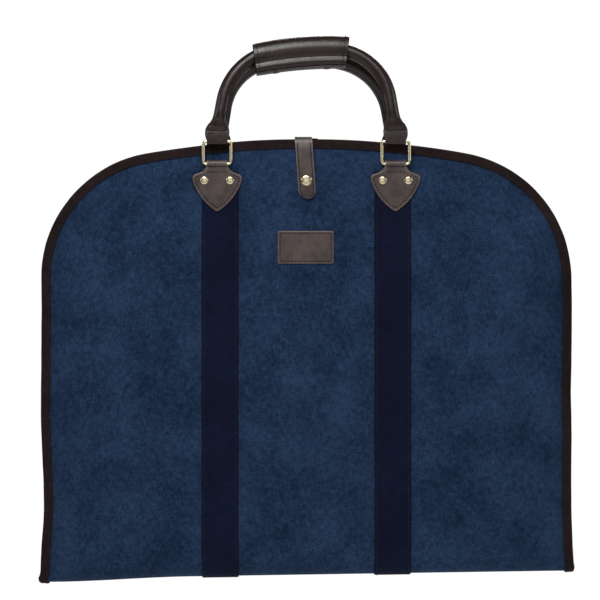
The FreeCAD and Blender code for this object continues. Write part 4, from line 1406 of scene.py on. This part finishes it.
@dataclass
class Fittings:
    """Domed rivet caps and the snap's cap, and the plain metal under them."""

    rivet: Profile = field(default_factory=lambda: [
        (0, 1.75 * MM), (2.6 * MM, 1.68 * MM), (3.5 * MM, 1.5 * MM), (4.0 * MM, 1.2 * MM),
        (4.35 * MM, 0.75 * MM), (4.5 * MM, 0.3 * MM), (4.5 * MM, 0),
        (1.5 * MM, -0.1 * MM), (0, -0.1 * MM)])
    cap: Profile = field(default_factory=lambda: [
        (0, 2.5 * MM), (3.6 * MM, 2.4 * MM), (4.7 * MM, 2.15 * MM), (5.3 * MM, 1.7 * MM),
        (5.7 * MM, 0.95 * MM), (5.95 * MM, 0.7 * MM), (6.25 * MM, 0.45 * MM),
        (6.25 * MM, 0.1 * MM), (6.0 * MM, 0), (2 * MM, -0.1 * MM), (0, -0.1 * MM)])
    kept: tuple[str, ...] = (
        "front_rivet_backs", "rear_rivet_backs", "snap_socket", "snap_stud", "snap_stud_eyelet")
    rings: tuple[str, ...] = (
        "front_ring_left", "front_ring_right", "rear_ring_left", "rear_ring_right")
    zip_parts: tuple[str, ...] = ("zip_slider", "zip_pull", "zip_top_stops", "zip_bottom_stops")
    spacing: float = 28.3 * MM
    rivet_radius: float = 4.5 * MM
    above_webbing: float = 2.2 * MM

    def rivets(self, half: Half) -> bpy.types.Object:
        """Four domed rivet heads on a half's chapes."""
        low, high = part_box(f"{half.value}_rivet_caps")
        outer = (high.x - low.x) / 2 - self.rivet_radius
        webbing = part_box(f"{half.value}_webbing_left")[0 if half is Half.FRONT else 1].y
        y = webbing - half.sign * self.above_webbing
        frames = [axes_at(Vector((x, y, (low.z + high.z) / 2)), Vector((1, 0, 0)), half.outward())
                  for x in (-outer, self.spacing - outer, outer - self.spacing, outer)]
        return copies(f"{half.value}_rivet_domes", turned("rivet", self.rivet), frames)

    def build(self, tailor: Tailor) -> None:
        """Make and fit the caps, and dress the plain fittings."""
        wardrobe = tailor.wardrobe
        for half in Half:
            tailor.fit(self.rivets(half), half.body, wardrobe.fitting,
                       half.nodes("rivet_caps"))
        centre = middle_of("snap_cap")
        centre.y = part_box("snap_cap")[1].y
        frames = [axes_at(centre, Vector((1, 0, 0)), Vector((0, -1, 0)), (1.0, 1.0, 0.95))]
        dome = copies("snap_dome", turned("cap", self.cap, 36), frames)
        tailor.fit(dome, "snap_tab", wardrobe.fitting, ("snap_cap",))
        for names, finish in ((self.kept, wardrobe.fitting), (self.rings, wardrobe.ring),
                              (self.zip_parts, wardrobe.zip_metal)):
            for name in names:
                wardrobe.dress(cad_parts[name], finish)


# ------------------------------------------------------------------ tab and patch

@dataclass
class SnapTab:
    """Leather tab sewn inside the top edge, bent over it and snapped on the front."""

    width: float = 19 * MM
    leather: float = 2 * MM
    slant: float = 0.07
    stitch_inset: float = 2.3 * MM
    stitch_top: float = 0.52
    stitch_marks: int = 120
    stitch_proud: float = 2 * MM

    def __post_init__(self) -> None:
        """Read the tab's places."""
        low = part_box("snap_tab_strap")[0]
        self.end, self.front = low.z, low.y + self.leather / 2
        self.snap_z = middle_of("snap_cap").z
        self.knots = [(8.1 * MM, -28 * MM), (7.9 * MM, -20 * MM), (7.0 * MM, -11 * MM),
                      (5.2 * MM, -3.5 * MM), (3.4 * MM, 0.6 * MM), (0.2 * MM, 2.1 * MM),
                      (-3.6 * MM, 1.5 * MM), (-6.4 * MM, -2.0 * MM), (-8.0 * MM, -9 * MM),
                      (-8.9 * MM, -18 * MM), (-9.3 * MM, -28 * MM), (self.front, -38 * MM),
                      (self.front, -50 * MM), (self.front + 0.3 * MM, -58 * MM),
                      (self.front + 0.8 * MM, self.end)]

    def place(self, across: float, share: float, lift: float = 0.0) -> Vector:
        """Point of the tab, lifted out of its face.

        Args:
            across: metres from the tab's middle line.
            share: how far along the tab.
            lift: metres out of its middle surface.
        Returns:
            The point.
        """
        y, z = curve_through(self.knots, share)
        ahead, before = (curve_through(self.knots, share + d) for d in (0.01, -0.01))
        run = Vector((0.0, ahead[0] - before[0], ahead[1] - before[1])).normalized()
        out = run.cross(Vector((1, 0, 0)))
        lean = -self.slant * (z - self.snap_z) if share > 0.3 else -self.slant * -self.snap_z
        return Vector((across + lean, y, z)) + out * lift

    def half_width(self, share: float) -> float:
        """Half of the tab's width, with its round end."""
        z = curve_through(self.knots, share)[1]
        round_off = self.width / 2 - (z - self.end)
        if share > 0.6 and round_off > 0:
            return math.sqrt(max((self.width / 2) ** 2 - round_off ** 2, (0.4 * MM) ** 2))
        return self.width / 2

    def sewing(self) -> bpy.types.Object:
        """Stitches down one edge of the tab's front, round its end and up the other."""
        stitches = Stitching(pitch=3.2 * MM, length=2.4 * MM)
        line = []
        for k in range(self.stitch_marks + 1):
            turn = k / self.stitch_marks
            share = self.stitch_top + (1 - self.stitch_top) * (1 - abs(2 * turn - 1) ** 1.2)
            share = min(share, 0.985)
            reach = max(self.half_width(share) - self.stitch_inset, 0.0)
            point = self.place(math.copysign(reach, turn - 0.5), share, self.leather / 2)
            line.append(point - Vector((0, self.stitch_proud, 0)))
        stitches.along(line, Vector((0, -1, 0.001)))
        return stitches.sewn("snap_tab_stitches")

    def build(self, tailor: Tailor) -> None:
        """Make and fit the tab and its stitches."""
        def point(u: float, v: float) -> Vector:
            """Point of the strap."""
            v = 1 - (1 - v) ** 1.25
            return self.place((2 * u - 1) * self.half_width(v), v)

        strap = laid_grid("snap_tab_leather", 14, 96, point, (self.width, 0.1), self.leather)
        edges = []
        for vertex in strap.data.vertices:
            middle = -self.slant * (vertex.co.z - self.snap_z)
            aside = smooth((abs(vertex.co.x - middle) - 7.6 * MM) / (1.4 * MM))
            edges.append(max(aside, smooth((self.end + 3 * MM - vertex.co.z) / (3 * MM))))
        mark_wear(strap, edges)
        rounded_edges(strap, 0.45 * MM)
        crossing = Crossing("front_half", "snap_tab", (0.0, 4.5 * MM, 0.0), (0.0, -3 * MM, 0.0))
        tailor.fit(strap, crossing, tailor.wardrobe.leather,
                   ("snap_tab_strap", "snap_tab_anchor"))
        tailor.fit(self.sewing(), "snap_tab", tailor.wardrobe.dark_thread)


@dataclass
class LabelPatch:
    """Blank leather patch sewn on the front."""

    corner: float = 1.3 * MM
    stitch_inset: float = 2.5 * MM
    leather: float = 1.6 * MM
    shift: float = -0.7 * MM

    def rounded(self, shrink: float) -> list[tuple[float, float]]:
        """Rounded rectangle of the patch, set in by a distance."""
        low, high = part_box("label_patch")
        wide, tall = (high.x - low.x) / 2 - shrink, (high.z - low.z) / 2 - shrink
        centre = Vector(((low.x + high.x) / 2 + self.shift, (low.z + high.z) / 2))
        radius = max(self.corner - shrink, 0.6 * MM)
        corners = []
        for k, (sx, sz) in enumerate(((1, -1), (1, 1), (-1, 1), (-1, -1))):
            middle = centre + Vector((sx * (wide - radius), sz * (tall - radius)))
            for step in range(5):
                turn = math.radians(90 * k - 90 + 22.5 * step)
                corners.append((middle.x + radius * math.cos(turn),
                                middle.y + radius * math.sin(turn)))
        return softened(corners, 3 * MM, 1)

    def build(self, tailor: Tailor) -> None:
        """Make and fit the patch and its stitches."""
        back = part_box("label_patch")[1].y
        flat = [Vector((x, back, z)) for x, z in self.rounded(0.0)]
        patch = plate("blank_patch", flat, Vector((0, -1, 0)), self.leather, 0.6 * MM, 0.6 * MM)
        tailor.fit(patch, "front_half", tailor.wardrobe.leather, ("label_patch",))
        face = back - self.leather - HAIR
        line = [Vector((x, face, z)) for x, z in self.rounded(self.stitch_inset)]
        stitches = Stitching(pitch=3.3 * MM, length=2.4 * MM)
        stitches.along(line + line[:1], Vector((0, -1, 0.001)))
        tailor.fit(stitches.sewn("patch_stitches"), "front_half",
                   tailor.wardrobe.dark_thread)


# ------------------------------------------------------------------ handles

@dataclass
class HandleForm:
    """Centre line of a rolled handle, in a frame that hangs on its rings' upper bars."""

    half: Half
    height: float = 103.5 * MM
    top_radius: float = 180 * MM
    shoulder_radius: float = 65 * MM
    shoulder_x: float = 27.4 * MM
    leg_lean: float = math.radians(10)
    leg_length: float = 34 * MM
    tube: float = 7.75 * MM
    ring_x: float = 98 * MM
    ring_pitch: float = 24.6 * MM
    ring_wire: float = 3.4 * MM
    rear_ring_tilt: float = math.radians(45)
    front_lean: float = math.radians(-7.6)
    rear_lean: float = math.radians(-17.1)
    stretch: float = 0.024
    lean_up: float = 0.024

    def __post_init__(self) -> None:
        """Work out the centre line's joins and where the handle hangs."""
        reach = self.top_radius - self.shoulder_radius
        drop = math.sqrt(reach ** 2 - self.shoulder_x ** 2)
        self.arc_z = self.height - self.top_radius
        self.join_turn = math.atan2(self.shoulder_x, drop)
        self.shoulder_z = self.arc_z + drop
        self.top_run = self.top_radius * self.join_turn
        self.shoulder_turn = math.pi / 2 - self.leg_lean - self.join_turn
        self.shoulder_run = self.shoulder_radius * self.shoulder_turn
        self.leg_start = self.top_run + self.shoulder_run
        self.reach = self.leg_start + self.leg_length + 9.5 * MM
        front = self.half is Half.FRONT
        self.grain = Waves(0.07 * MM, 12 * MM, 11.0 if front else 10.0)
        bar_y = middle_of("front_ring_left").y
        bar_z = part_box("front_ring_left")[0].z + self.ring_wire / 2
        tilt = 0.0 if front else self.rear_ring_tilt
        y = bar_y - self.ring_pitch * math.sin(tilt)
        z = bar_z + self.ring_pitch * math.cos(tilt)
        lean = self.front_lean if front else self.rear_lean
        self.matrix = Matrix.Translation((0, y, z)) @ Matrix.Rotation(lean, 4, "X")
        if not front:
            about = Matrix.Translation((0, 2 * plane_between(), 0))
            self.matrix = about @ Matrix.Rotation(math.pi, 4, "Z") @ self.matrix

    def centre(self, run: float) -> tuple[Vector, Vector]:
        """Centre line at a distance from the top middle, to the right.

        Args:
            run: distance along, negative to the left.
        Returns:
            The point and the outward direction across the tube, in the handle's frame.
        """
        side = 1 if run >= 0 else -1
        far = abs(run)
        if far < self.top_run:
            turn = far / self.top_radius
            x, z = self.top_radius * math.sin(turn), self.arc_z + self.top_radius * math.cos(turn)
        elif far < self.leg_start:
            turn = self.join_turn + (far - self.top_run) / self.shoulder_radius
            x = self.shoulder_x + self.shoulder_radius * math.sin(turn)
            z = self.shoulder_z + self.shoulder_radius * math.cos(turn)
        else:
            turn = math.pi / 2 - self.leg_lean
            past = far - self.leg_start
            straight = smooth((past - 26 * MM) / (16 * MM))
            x = self.shoulder_x + self.shoulder_radius * math.sin(turn)
            x += past * math.sin(self.leg_lean)
            x += (self.ring_x - x) * straight
            z = self.shoulder_z + self.shoulder_radius * math.cos(turn)
            z -= past * math.cos(self.leg_lean)
            turn += self.leg_lean * straight
        x *= side
        z += self.rise(x, z)
        return Vector((x, 0, z)), Vector((side * math.sin(turn), 0, math.cos(turn)))

    def rise(self, x: float, z: float) -> float:
        """How much higher the worn handle stands than a new one, more to the right."""
        return (self.stretch * z + self.lean_up * x) * smooth(z / (70 * MM))

    def past(self, run: float) -> float:
        """Distance down the leg."""
        return abs(run) - self.leg_start

    def wide(self, run: float) -> float:
        """Half width across the tube or its flat end."""
        return ladder([(16 * MM, self.tube), (22 * MM, 8.2 * MM), (26.6 * MM, 9.7 * MM),
                       (30.5 * MM, 12.0 * MM), (34 * MM, 13.3 * MM), (37 * MM, 13.4 * MM),
                       (39 * MM, 12.4 * MM), (42 * MM, 10.5 * MM)], self.past(run))

    def deep(self, run: float) -> float:
        """Half depth of the tube or its flat end."""
        return ladder([(14 * MM, self.tube), (24 * MM, 6.6 * MM), (32 * MM, 4.9 * MM),
                       (36.2 * MM, 4.5 * MM), (38.2 * MM, 3.2 * MM), (40.5 * MM, 1.8 * MM),
                       (44 * MM, 1.4 * MM)], self.past(run))


@dataclass
class Handle:
    """Rolled leather cover with flat looped ends, its rope core and its stitches."""

    form: HandleForm
    lumps: Waves = Waves(0.12 * MM, 35 * MM, 1.0)

    def shell(self, run: float, turn: float, grow: float = 0.0) -> Vector:
        """Point round the handle's section.

        Args:
            run: distance from the top middle.
            turn: angle round the section, from the outside.
            grow: metres out of the surface.
        Returns:
            The point in the bag's frame.
        """
        form = self.form
        centre, across = form.centre(run)
        flat = smooth((form.past(run) - 16 * MM) / (18 * MM))
        power = 1.0 - 0.42 * flat
        cos, sin = math.cos(turn), math.sin(turn)
        round_x = math.copysign(abs(cos) ** power, cos)
        round_y = math.copysign(abs(sin) ** power, sin)
        uneven = form.grain.at(run, turn * 10 * MM) + self.lumps.at(run, turn * 6 * MM)
        wide, deep = form.wide(run) + grow + uneven, form.deep(run) + grow + uneven
        local = centre + across * (round_x * wide) + Vector((0, -round_y * deep, 0))
        return form.matrix @ local

    def cover(self) -> bpy.types.Object:
        """Rolled leather from end to end, closed at its ends."""
        reach = self.form.reach

        def place(u: float, v: float) -> Vector:
            """Point of the cover."""
            return self.shell((2 * v - 1) * reach, 2 * math.pi * u)

        return loft("cover", 28, 230, place, (0.049, 2 * reach))

    def eye(self, side: Side) -> bpy.types.Object:
        """Leather loop that goes under a ring's bar."""
        form = self.form
        width, radius = 22.6 * MM, 3.0 * MM
        knots = [(-2.75 * MM, 11.5 * MM), (-2.85 * MM, 9.4 * MM), (-2.9 * MM, 6.6 * MM)]
        for degrees in range(180, 361, 20):
            turn = math.radians(degrees)
            knots.append((radius * math.cos(turn), radius * math.sin(turn)))
        knots += [(2.9 * MM, 6.6 * MM), (2.85 * MM, 9.4 * MM), (2.75 * MM, 11.5 * MM)]

        def place(u: float, v: float) -> Vector:
            """Point of the loop."""
            y, z = curve_through(knots, v)
            wide = width + 3.8 * MM * smooth((z - 0.5 * MM) / (6 * MM))
            swell = 0.55 * MM * (1 - (2 * u - 1) ** 2) * smooth((z - 1 * MM) / (4 * MM))
            y += math.copysign(swell, y)
            return form.matrix @ Vector((side * form.ring_x + (u - 0.5) * wide, y, z))

        band = laid_grid("eye", 14, 48, place, (width, 0.03), 1.9 * MM)
        return rounded_edges(band, 0.6 * MM)

    def core(self) -> bpy.types.Object:
        """Three strands of rope inside the cover."""
        form = self.form
        reach = form.leg_start + 20 * MM

        def place(u: float, v: float) -> Vector:
            """Point of the rope."""
            run = (2 * v - 1) * reach
            centre, across = form.centre(run)
            turn = 2 * math.pi * u
            radius = 4.7 * MM + 0.6 * MM * abs(math.cos(1.5 * turn + run / (11 * MM)))
            local = centre + across * (radius * math.cos(turn))
            return form.matrix @ (local + Vector((0, -radius * math.sin(turn), 0)))

        return loft(f"{form.half.value}_rope_core", 24, 160, place, (0.034, 2 * reach))

    def sewing(self) -> bpy.types.Object:
        """Two rows of stitches across both faces of each flat end."""
        form = self.form
        stitches = Stitching(pitch=3.0 * MM, length=2.3 * MM)
        for side in Side:
            for past, lift, reach in ((38.9 * MM, 4.1 * MM, 10.5 * MM),
                                      (30 * MM, 5.15 * MM, 5.5 * MM)):
                centre, across = form.centre(side * (form.leg_start + past))
                for face in (-1, 1):
                    ends = [form.matrix @ (centre + across * (step * reach)
                                           + Vector((0, face * lift, 0))) for step in (-1, 1)]
                    out = form.matrix.to_3x3() @ Vector((0, face, 0.001))
                    stitches.along(ends, out)
        return stitches.sewn(f"{form.half.value}_handle_stitches")

    def build(self, tailor: Tailor) -> None:
        """Make and fit the cover, core and stitches."""
        half = self.form.half
        cover = join(f"{half.value}_rolled_handle",
                     [self.cover(), self.eye(Side.LEFT), self.eye(Side.RIGHT)])
        body = f"{half.value}_handle"
        tailor.fit(cover, body, tailor.wardrobe.handle,
                   half.nodes("handle_cover"))
        tailor.fit(self.core(), body, tailor.wardrobe.rope,
                   half.nodes("handle_core"))
        tailor.fit(self.sewing(), body, tailor.wardrobe.dark_thread)


@dataclass
class GripWrap:
    """Leather sleeve round both handles, and the flap that closes it."""

    form: HandleForm
    length: float = 106 * MM
    offset: float = -6 * MM
    leather: float = 2.2 * MM
    tilt: float = 0.028
    flatten: float = 1.54
    soft: Waves = Waves(0.18 * MM, 30 * MM, 8.0)
    snap_run: float = 30 * MM
    snap_depth: float = -1.6 * MM
    over: list[tuple[float, float]] = field(default_factory=lambda: [
        (31.0 * MM, 8.6 * MM), (25.0 * MM, 8.9 * MM), (17.0 * MM, 8.7 * MM), (9.0 * MM, 9.4 * MM),
        (2.0 * MM, 10.4 * MM), (-4.5 * MM, 9.3 * MM), (-9.0 * MM, 5.2 * MM),
        (-11.0 * MM, -0.8 * MM), (-10.9 * MM, -6.4 * MM), (-9.4 * MM, -10.6 * MM),
        (-7.9 * MM, -12.9 * MM), (-8.2 * MM, -15.6 * MM), (-8.3 * MM, -19.0 * MM),
        (-6.4 * MM, -21.6 * MM), (-1.0 * MM, -21.7 * MM), (5.0 * MM, -20.5 * MM)])
    under: list[tuple[float, float]] = field(default_factory=lambda: [
        (31.6 * MM, 8.4 * MM), (33.2 * MM, 5.0 * MM), (33.6 * MM, -2.0 * MM),
        (33.2 * MM, -9.0 * MM), (31.4 * MM, -14.6 * MM), (27.5 * MM, -17.8 * MM),
        (21.0 * MM, -19.2 * MM), (13.0 * MM, -20.9 * MM), (5.0 * MM, -22.6 * MM),
        (-1.5 * MM, -23.95 * MM), (-7.4 * MM, -24.1 * MM)])

    def point(self, section: tuple[float, float], run: float, lift: float = 0.0) -> Vector:
        """Point on the wrap.

        Args:
            section: depth and rise from the front tube's centre.
            run: distance along the handle from the wrap's middle.
            lift: metres added to the section's own depth.
        Returns:
            The point in the bag's frame.
        """
        y, rise = section
        form = self.form
        turn = (self.offset + run) / form.top_radius
        radius = form.top_radius + rise
        bulge = 1 - 0.05 * smooth((abs(run) - 40 * MM) / (13 * MM))
        x = (form.top_radius + rise * 0.45) * math.sin(turn)
        z = form.arc_z + radius * math.cos(turn)
        z += form.rise(x, z) + run * self.tilt + self.flatten * run ** 2
        return form.matrix @ Vector((x, y * bulge - lift, z))

    def band(self, name: str, knots: list[tuple[float, float]], rows: int) -> bpy.types.Object:
        """Bent leather band along one section."""
        def place(u: float, v: float) -> Vector:
            """Point of the band."""
            run = (u - 0.5) * self.length
            y, rise = curve_through(knots, v)
            soft = self.soft.at(run, v * 0.1)
            return self.point((y + soft, rise + soft), run)

        band = laid_grid(name, 64, rows, place, (self.length, 0.08), self.leather)
        local = self.form.matrix.inverted()
        amounts = []
        for vertex in band.data.vertices:
            x = (local @ vertex.co).x - self.offset
            amounts.append(0.75 * smooth((abs(x) - self.length / 2 + 2.2 * MM) / (1.6 * MM)))
        mark_wear(band, amounts)
        return rounded_edges(band, 0.7 * MM)

    def sewing(self) -> bpy.types.Object:
        """Stitches near both ends of the wrap."""
        stitches = Stitching(pitch=3.3 * MM, length=2.4 * MM)
        for side in Side:
            run = side * (self.length / 2 - 4.2 * MM)
            line = []
            for k in range(61):
                y, rise = curve_through(self.over, 0.12 + 0.83 * k / 60)
                ahead = curve_through(self.over, 0.14 + 0.83 * k / 60)
                step = Vector((0, ahead[0] - y, ahead[1] - rise)).normalized()
                out = step.cross(Vector((-1, 0, 0))) * (self.leather / 2 + 0.15 * MM)
                line.append(self.point((y - out.y, rise - out.z), run))
            stitches.along(line, Vector((0.001, -1, 0.35)))
        return stitches.sewn("grip_wrap_stitches")

    def build(self, tailor: Tailor) -> None:
        """Make and fit the wrap, its flap and its stitches."""
        finish = tailor.wardrobe.handle
        tailor.fit(self.band("grip_sleeve", self.over, 90), "front_handle",
                   finish, ("grip_wrap",))
        tailor.fit(self.band("grip_closing_flap", self.under, 60), "grip_flap",
                   finish, ("grip_flap",))
        tailor.fit(self.sewing(), "front_handle", tailor.wardrobe.dark_thread)
        tailor.fit(self.snaps("grip_flap_snap_caps", 5 * MM, 1.0 * MM, -24.9 * MM), "grip_flap",
                   tailor.wardrobe.antique, ("grip_caps",))
        tailor.fit(self.snaps("grip_sleeve_snap_studs", 2.5 * MM, 0.9 * MM, -22.6 * MM),
                   "front_handle", tailor.wardrobe.antique, ("grip_studs",))

    def snaps(self, name: str, radius: float, rise: float, rise_at: float) -> bpy.types.Object:
        """Two low domes that look down under the wrap.

        Args:
            name: the piece's name.
            radius: radius of a dome.
            rise: height of a dome.
            rise_at: level of its back below the front tube's centre.
        Returns:
            Both domes.
        """
        profile = [(0, rise), (radius * 0.5, rise * 0.92), (radius * 0.85, rise * 0.55),
                   (radius, rise * 0.1), (radius, -0.3 * MM), (0, -0.3 * MM)]
        frames = []
        for run in (-self.snap_run, self.snap_run):
            foot = self.point((self.snap_depth, rise_at), run)
            along = self.point((self.snap_depth, rise_at), run + 1 * MM) - foot
            down = self.point((self.snap_depth, rise_at - 5 * MM), run) - foot
            frames.append(axes_at(foot, along, down))
        return copies(name, turned("snap", profile, 20), frames)


# ------------------------------------------------------------------ zip

@dataclass
class ZipFastener:
    """Tapes and teeth on the inner side of both halves and round the fold."""

    form: BagForm
    near: float = 3.0 * MM
    far: float = 12.9 * MM
    top: float = -43 * MM
    pitch: float = 2.5 * MM
    row: float = 1.9 * MM
    tooth: tuple[float, float, float] = (1.2 * MM, 2.5 * MM, 1.8 * MM)
    tooth_sunk: float = 0.95 * MM
    tape_sunk: float = 0.6 * MM

    def tape(self, half: Half, side: Side) -> bpy.types.Object:
        """One tape of a half."""
        form = self.form
        length = form.level(self.top)

        def place(u: float, v: float) -> Vector:
            """Point of the tape."""
            x, s = self.near + u * (self.far - self.near), v * length
            return form.at(half, side * x, s, self.tape_sunk - form.depth(x, s))

        name = f"{half.value}_tape_{side.word}"
        return laid_grid(name, 4, 100, place, (0.01, length), 0.7 * MM)

    def teeth(self, half: Half) -> bpy.types.Object:
        """Two rows of teeth of a half, set between each other."""
        form = self.form
        deselect()
        bpy.ops.mesh.primitive_cube_add(size=1.0)
        tooth = named("tooth")
        bpy.ops.object.mode_set(mode="EDIT")
        bpy.ops.mesh.select_all(action="SELECT")
        bpy.ops.mesh.bevel(offset=0.18, segments=1)
        bpy.ops.object.mode_set(mode="OBJECT")
        frames = []
        count = int(form.level(self.top) / self.pitch)
        inward = Vector((0, half.sign, 0.001))
        for side in Side:
            x, start = side * self.row, 0.5 if side is Side.RIGHT else 1.0
            for k in range(count):
                s = (k + start) * self.pitch
                out = self.tooth_sunk - form.depth(x, s)
                here = form.at(half, x, s, out)
                above = form.at(half, x, s + 0.5 * MM, out)
                frames.append(axes_at(here, above - here, inward, self.tooth))
        return copies(f"{half.value}_teeth", tooth, frames)

    def build(self, tailor: Tailor) -> None:
        """Make and fit tapes and teeth."""
        for half in Half:
            crossing = self.form.inner_crossing(half)
            tapes = join(f"{half.value}_tapes", [self.tape(half, side) for side in Side])
            tailor.fit(tapes, crossing, tailor.wardrobe.zip_tape,
                       half.nodes("zip_tapes", "fold_zip_tapes"))
            tailor.fit(self.teeth(half), crossing, tailor.wardrobe.zip_metal,
                       half.nodes("zip_teeth", "fold_zip_teeth"))


# ------------------------------------------------------------------ studio

@dataclass
class Studio:
    """Pale floor, soft lamps and the camera."""

    distance: float = 2.6
    view_width: float = 0.66
    centre: tuple[float, float] = (-0.007, -0.177)
    floor_z: float = -1.05
    floor_size: float = 8.0
    air: float = 0.13

    def floor(self) -> None:
        """Wide pale floor, well below the hanging bag."""
        deselect()
        bpy.ops.mesh.primitive_grid_add(x_subdivisions=4, y_subdivisions=4, size=self.floor_size,
                                        location=(0, 0, 0))
        ground = named("studio_floor")
        ground.data.transform(Matrix.Translation((0, 0, self.floor_z)))
        bench = Bench("studio_white")
        tone = bench.blend(bench.mottle(bench.where("Object"), 0.4), (0.90, 0.90, 0.90, 1),
                           (0.93, 0.93, 0.93, 1))
        ground.data.materials.append(bench.surface(
            Base_Color=tone, Roughness=0.9, Emission_Color=(1, 1, 1, 1), Emission_Strength=0.2))

    def world(self) -> None:
        """White backdrop that gives only part of the light."""
        world = bpy.data.worlds.new("studio_air")
        world.use_nodes = True
        tree = world.node_tree
        backdrop = tree.nodes["Background"]
        backdrop.inputs[0].default_value = (1, 1, 1, 1)
        seen = tree.nodes.new("ShaderNodeLightPath").outputs["Is Camera Ray"]
        strength = tree.nodes.new("ShaderNodeMapRange")
        strength.inputs["To Min"].default_value = self.air
        strength.inputs["To Max"].default_value = 1.02
        tree.links.new(seen, strength.inputs["Value"])
        tree.links.new(strength.outputs[0], backdrop.inputs[1])
        bpy.context.scene.world = world
        bpy.context.scene.view_settings.view_transform = "Standard"

    def lamp(self, name: str, place: tuple[float, float, float], size: float,
             power: float) -> None:
        """Soft square lamp that looks at the bag."""
        light = bpy.data.lights.new(name, "AREA")
        light.energy = power
        light.size = size
        lamp = bpy.data.objects.new(name, light)
        lamp.location = place
        aim = Vector((0, 0, -0.15)) - Vector(place)
        lamp.rotation_euler = aim.to_track_quat("-Z", "Y").to_euler()
        bpy.context.collection.objects.link(lamp)

    def camera(self) -> None:
        """Camera straight in front of the bag."""
        lens = bpy.data.cameras.new("camera")
        lens.sensor_width = 36.0
        lens.lens = 36.0 * (self.distance - 7 * MM) / self.view_width
        camera = bpy.data.objects.new("camera", lens)
        camera.location = (self.centre[0], -self.distance, self.centre[1])
        camera.rotation_euler = (math.pi / 2, 0, 0)
        bpy.context.collection.objects.link(camera)
        bpy.context.scene.camera = camera

    def build(self) -> None:
        """Set the studio up."""
        self.floor()
        self.world()
        self.lamp("key", (-0.4, -1.2, 1.18), 0.75, 20.5)
        self.lamp("front", (0.35, -1.9, 1.5), 0.8, 12.0)
        self.lamp("card", (0.0, -4.2, 0.25), 1.7, 6.5)
        self.lamp("right", (1.9, -0.3, 0.5), 0.9, 8.0)
        self.lamp("left", (-1.9, -0.3, 0.5), 0.9, 6.0)
        self.lamp("back", (0.4, 1.5, 1.0), 1.0, 24.0)
        self.camera()


def main() -> None:
    """Build the bag piece by piece, then the studio."""
    logging.basicConfig(level=logging.INFO, format="%(name)s %(message)s")
    tailor = Tailor(Wardrobe())
    form = BagForm()
    CanvasPanels(form).build(tailor)
    EdgeBinding(form).build(tailor)
    WebbingStraps(form).build(tailor)
    for half in Half:
        for side in Side:
            Chape(half, side).build(tailor)
    Fittings().build(tailor)
    LabelPatch().build(tailor)
    SnapTab().build(tailor)
    for half in Half:
        Handle(HandleForm(half)).build(tailor)
    GripWrap(HandleForm(Half.FRONT)).build(tailor)
    ZipFastener(form).build(tailor)
    Studio().build()
    LOG.info("%d new pieces", tailor.count)


if __name__ == "__main__":
    main()
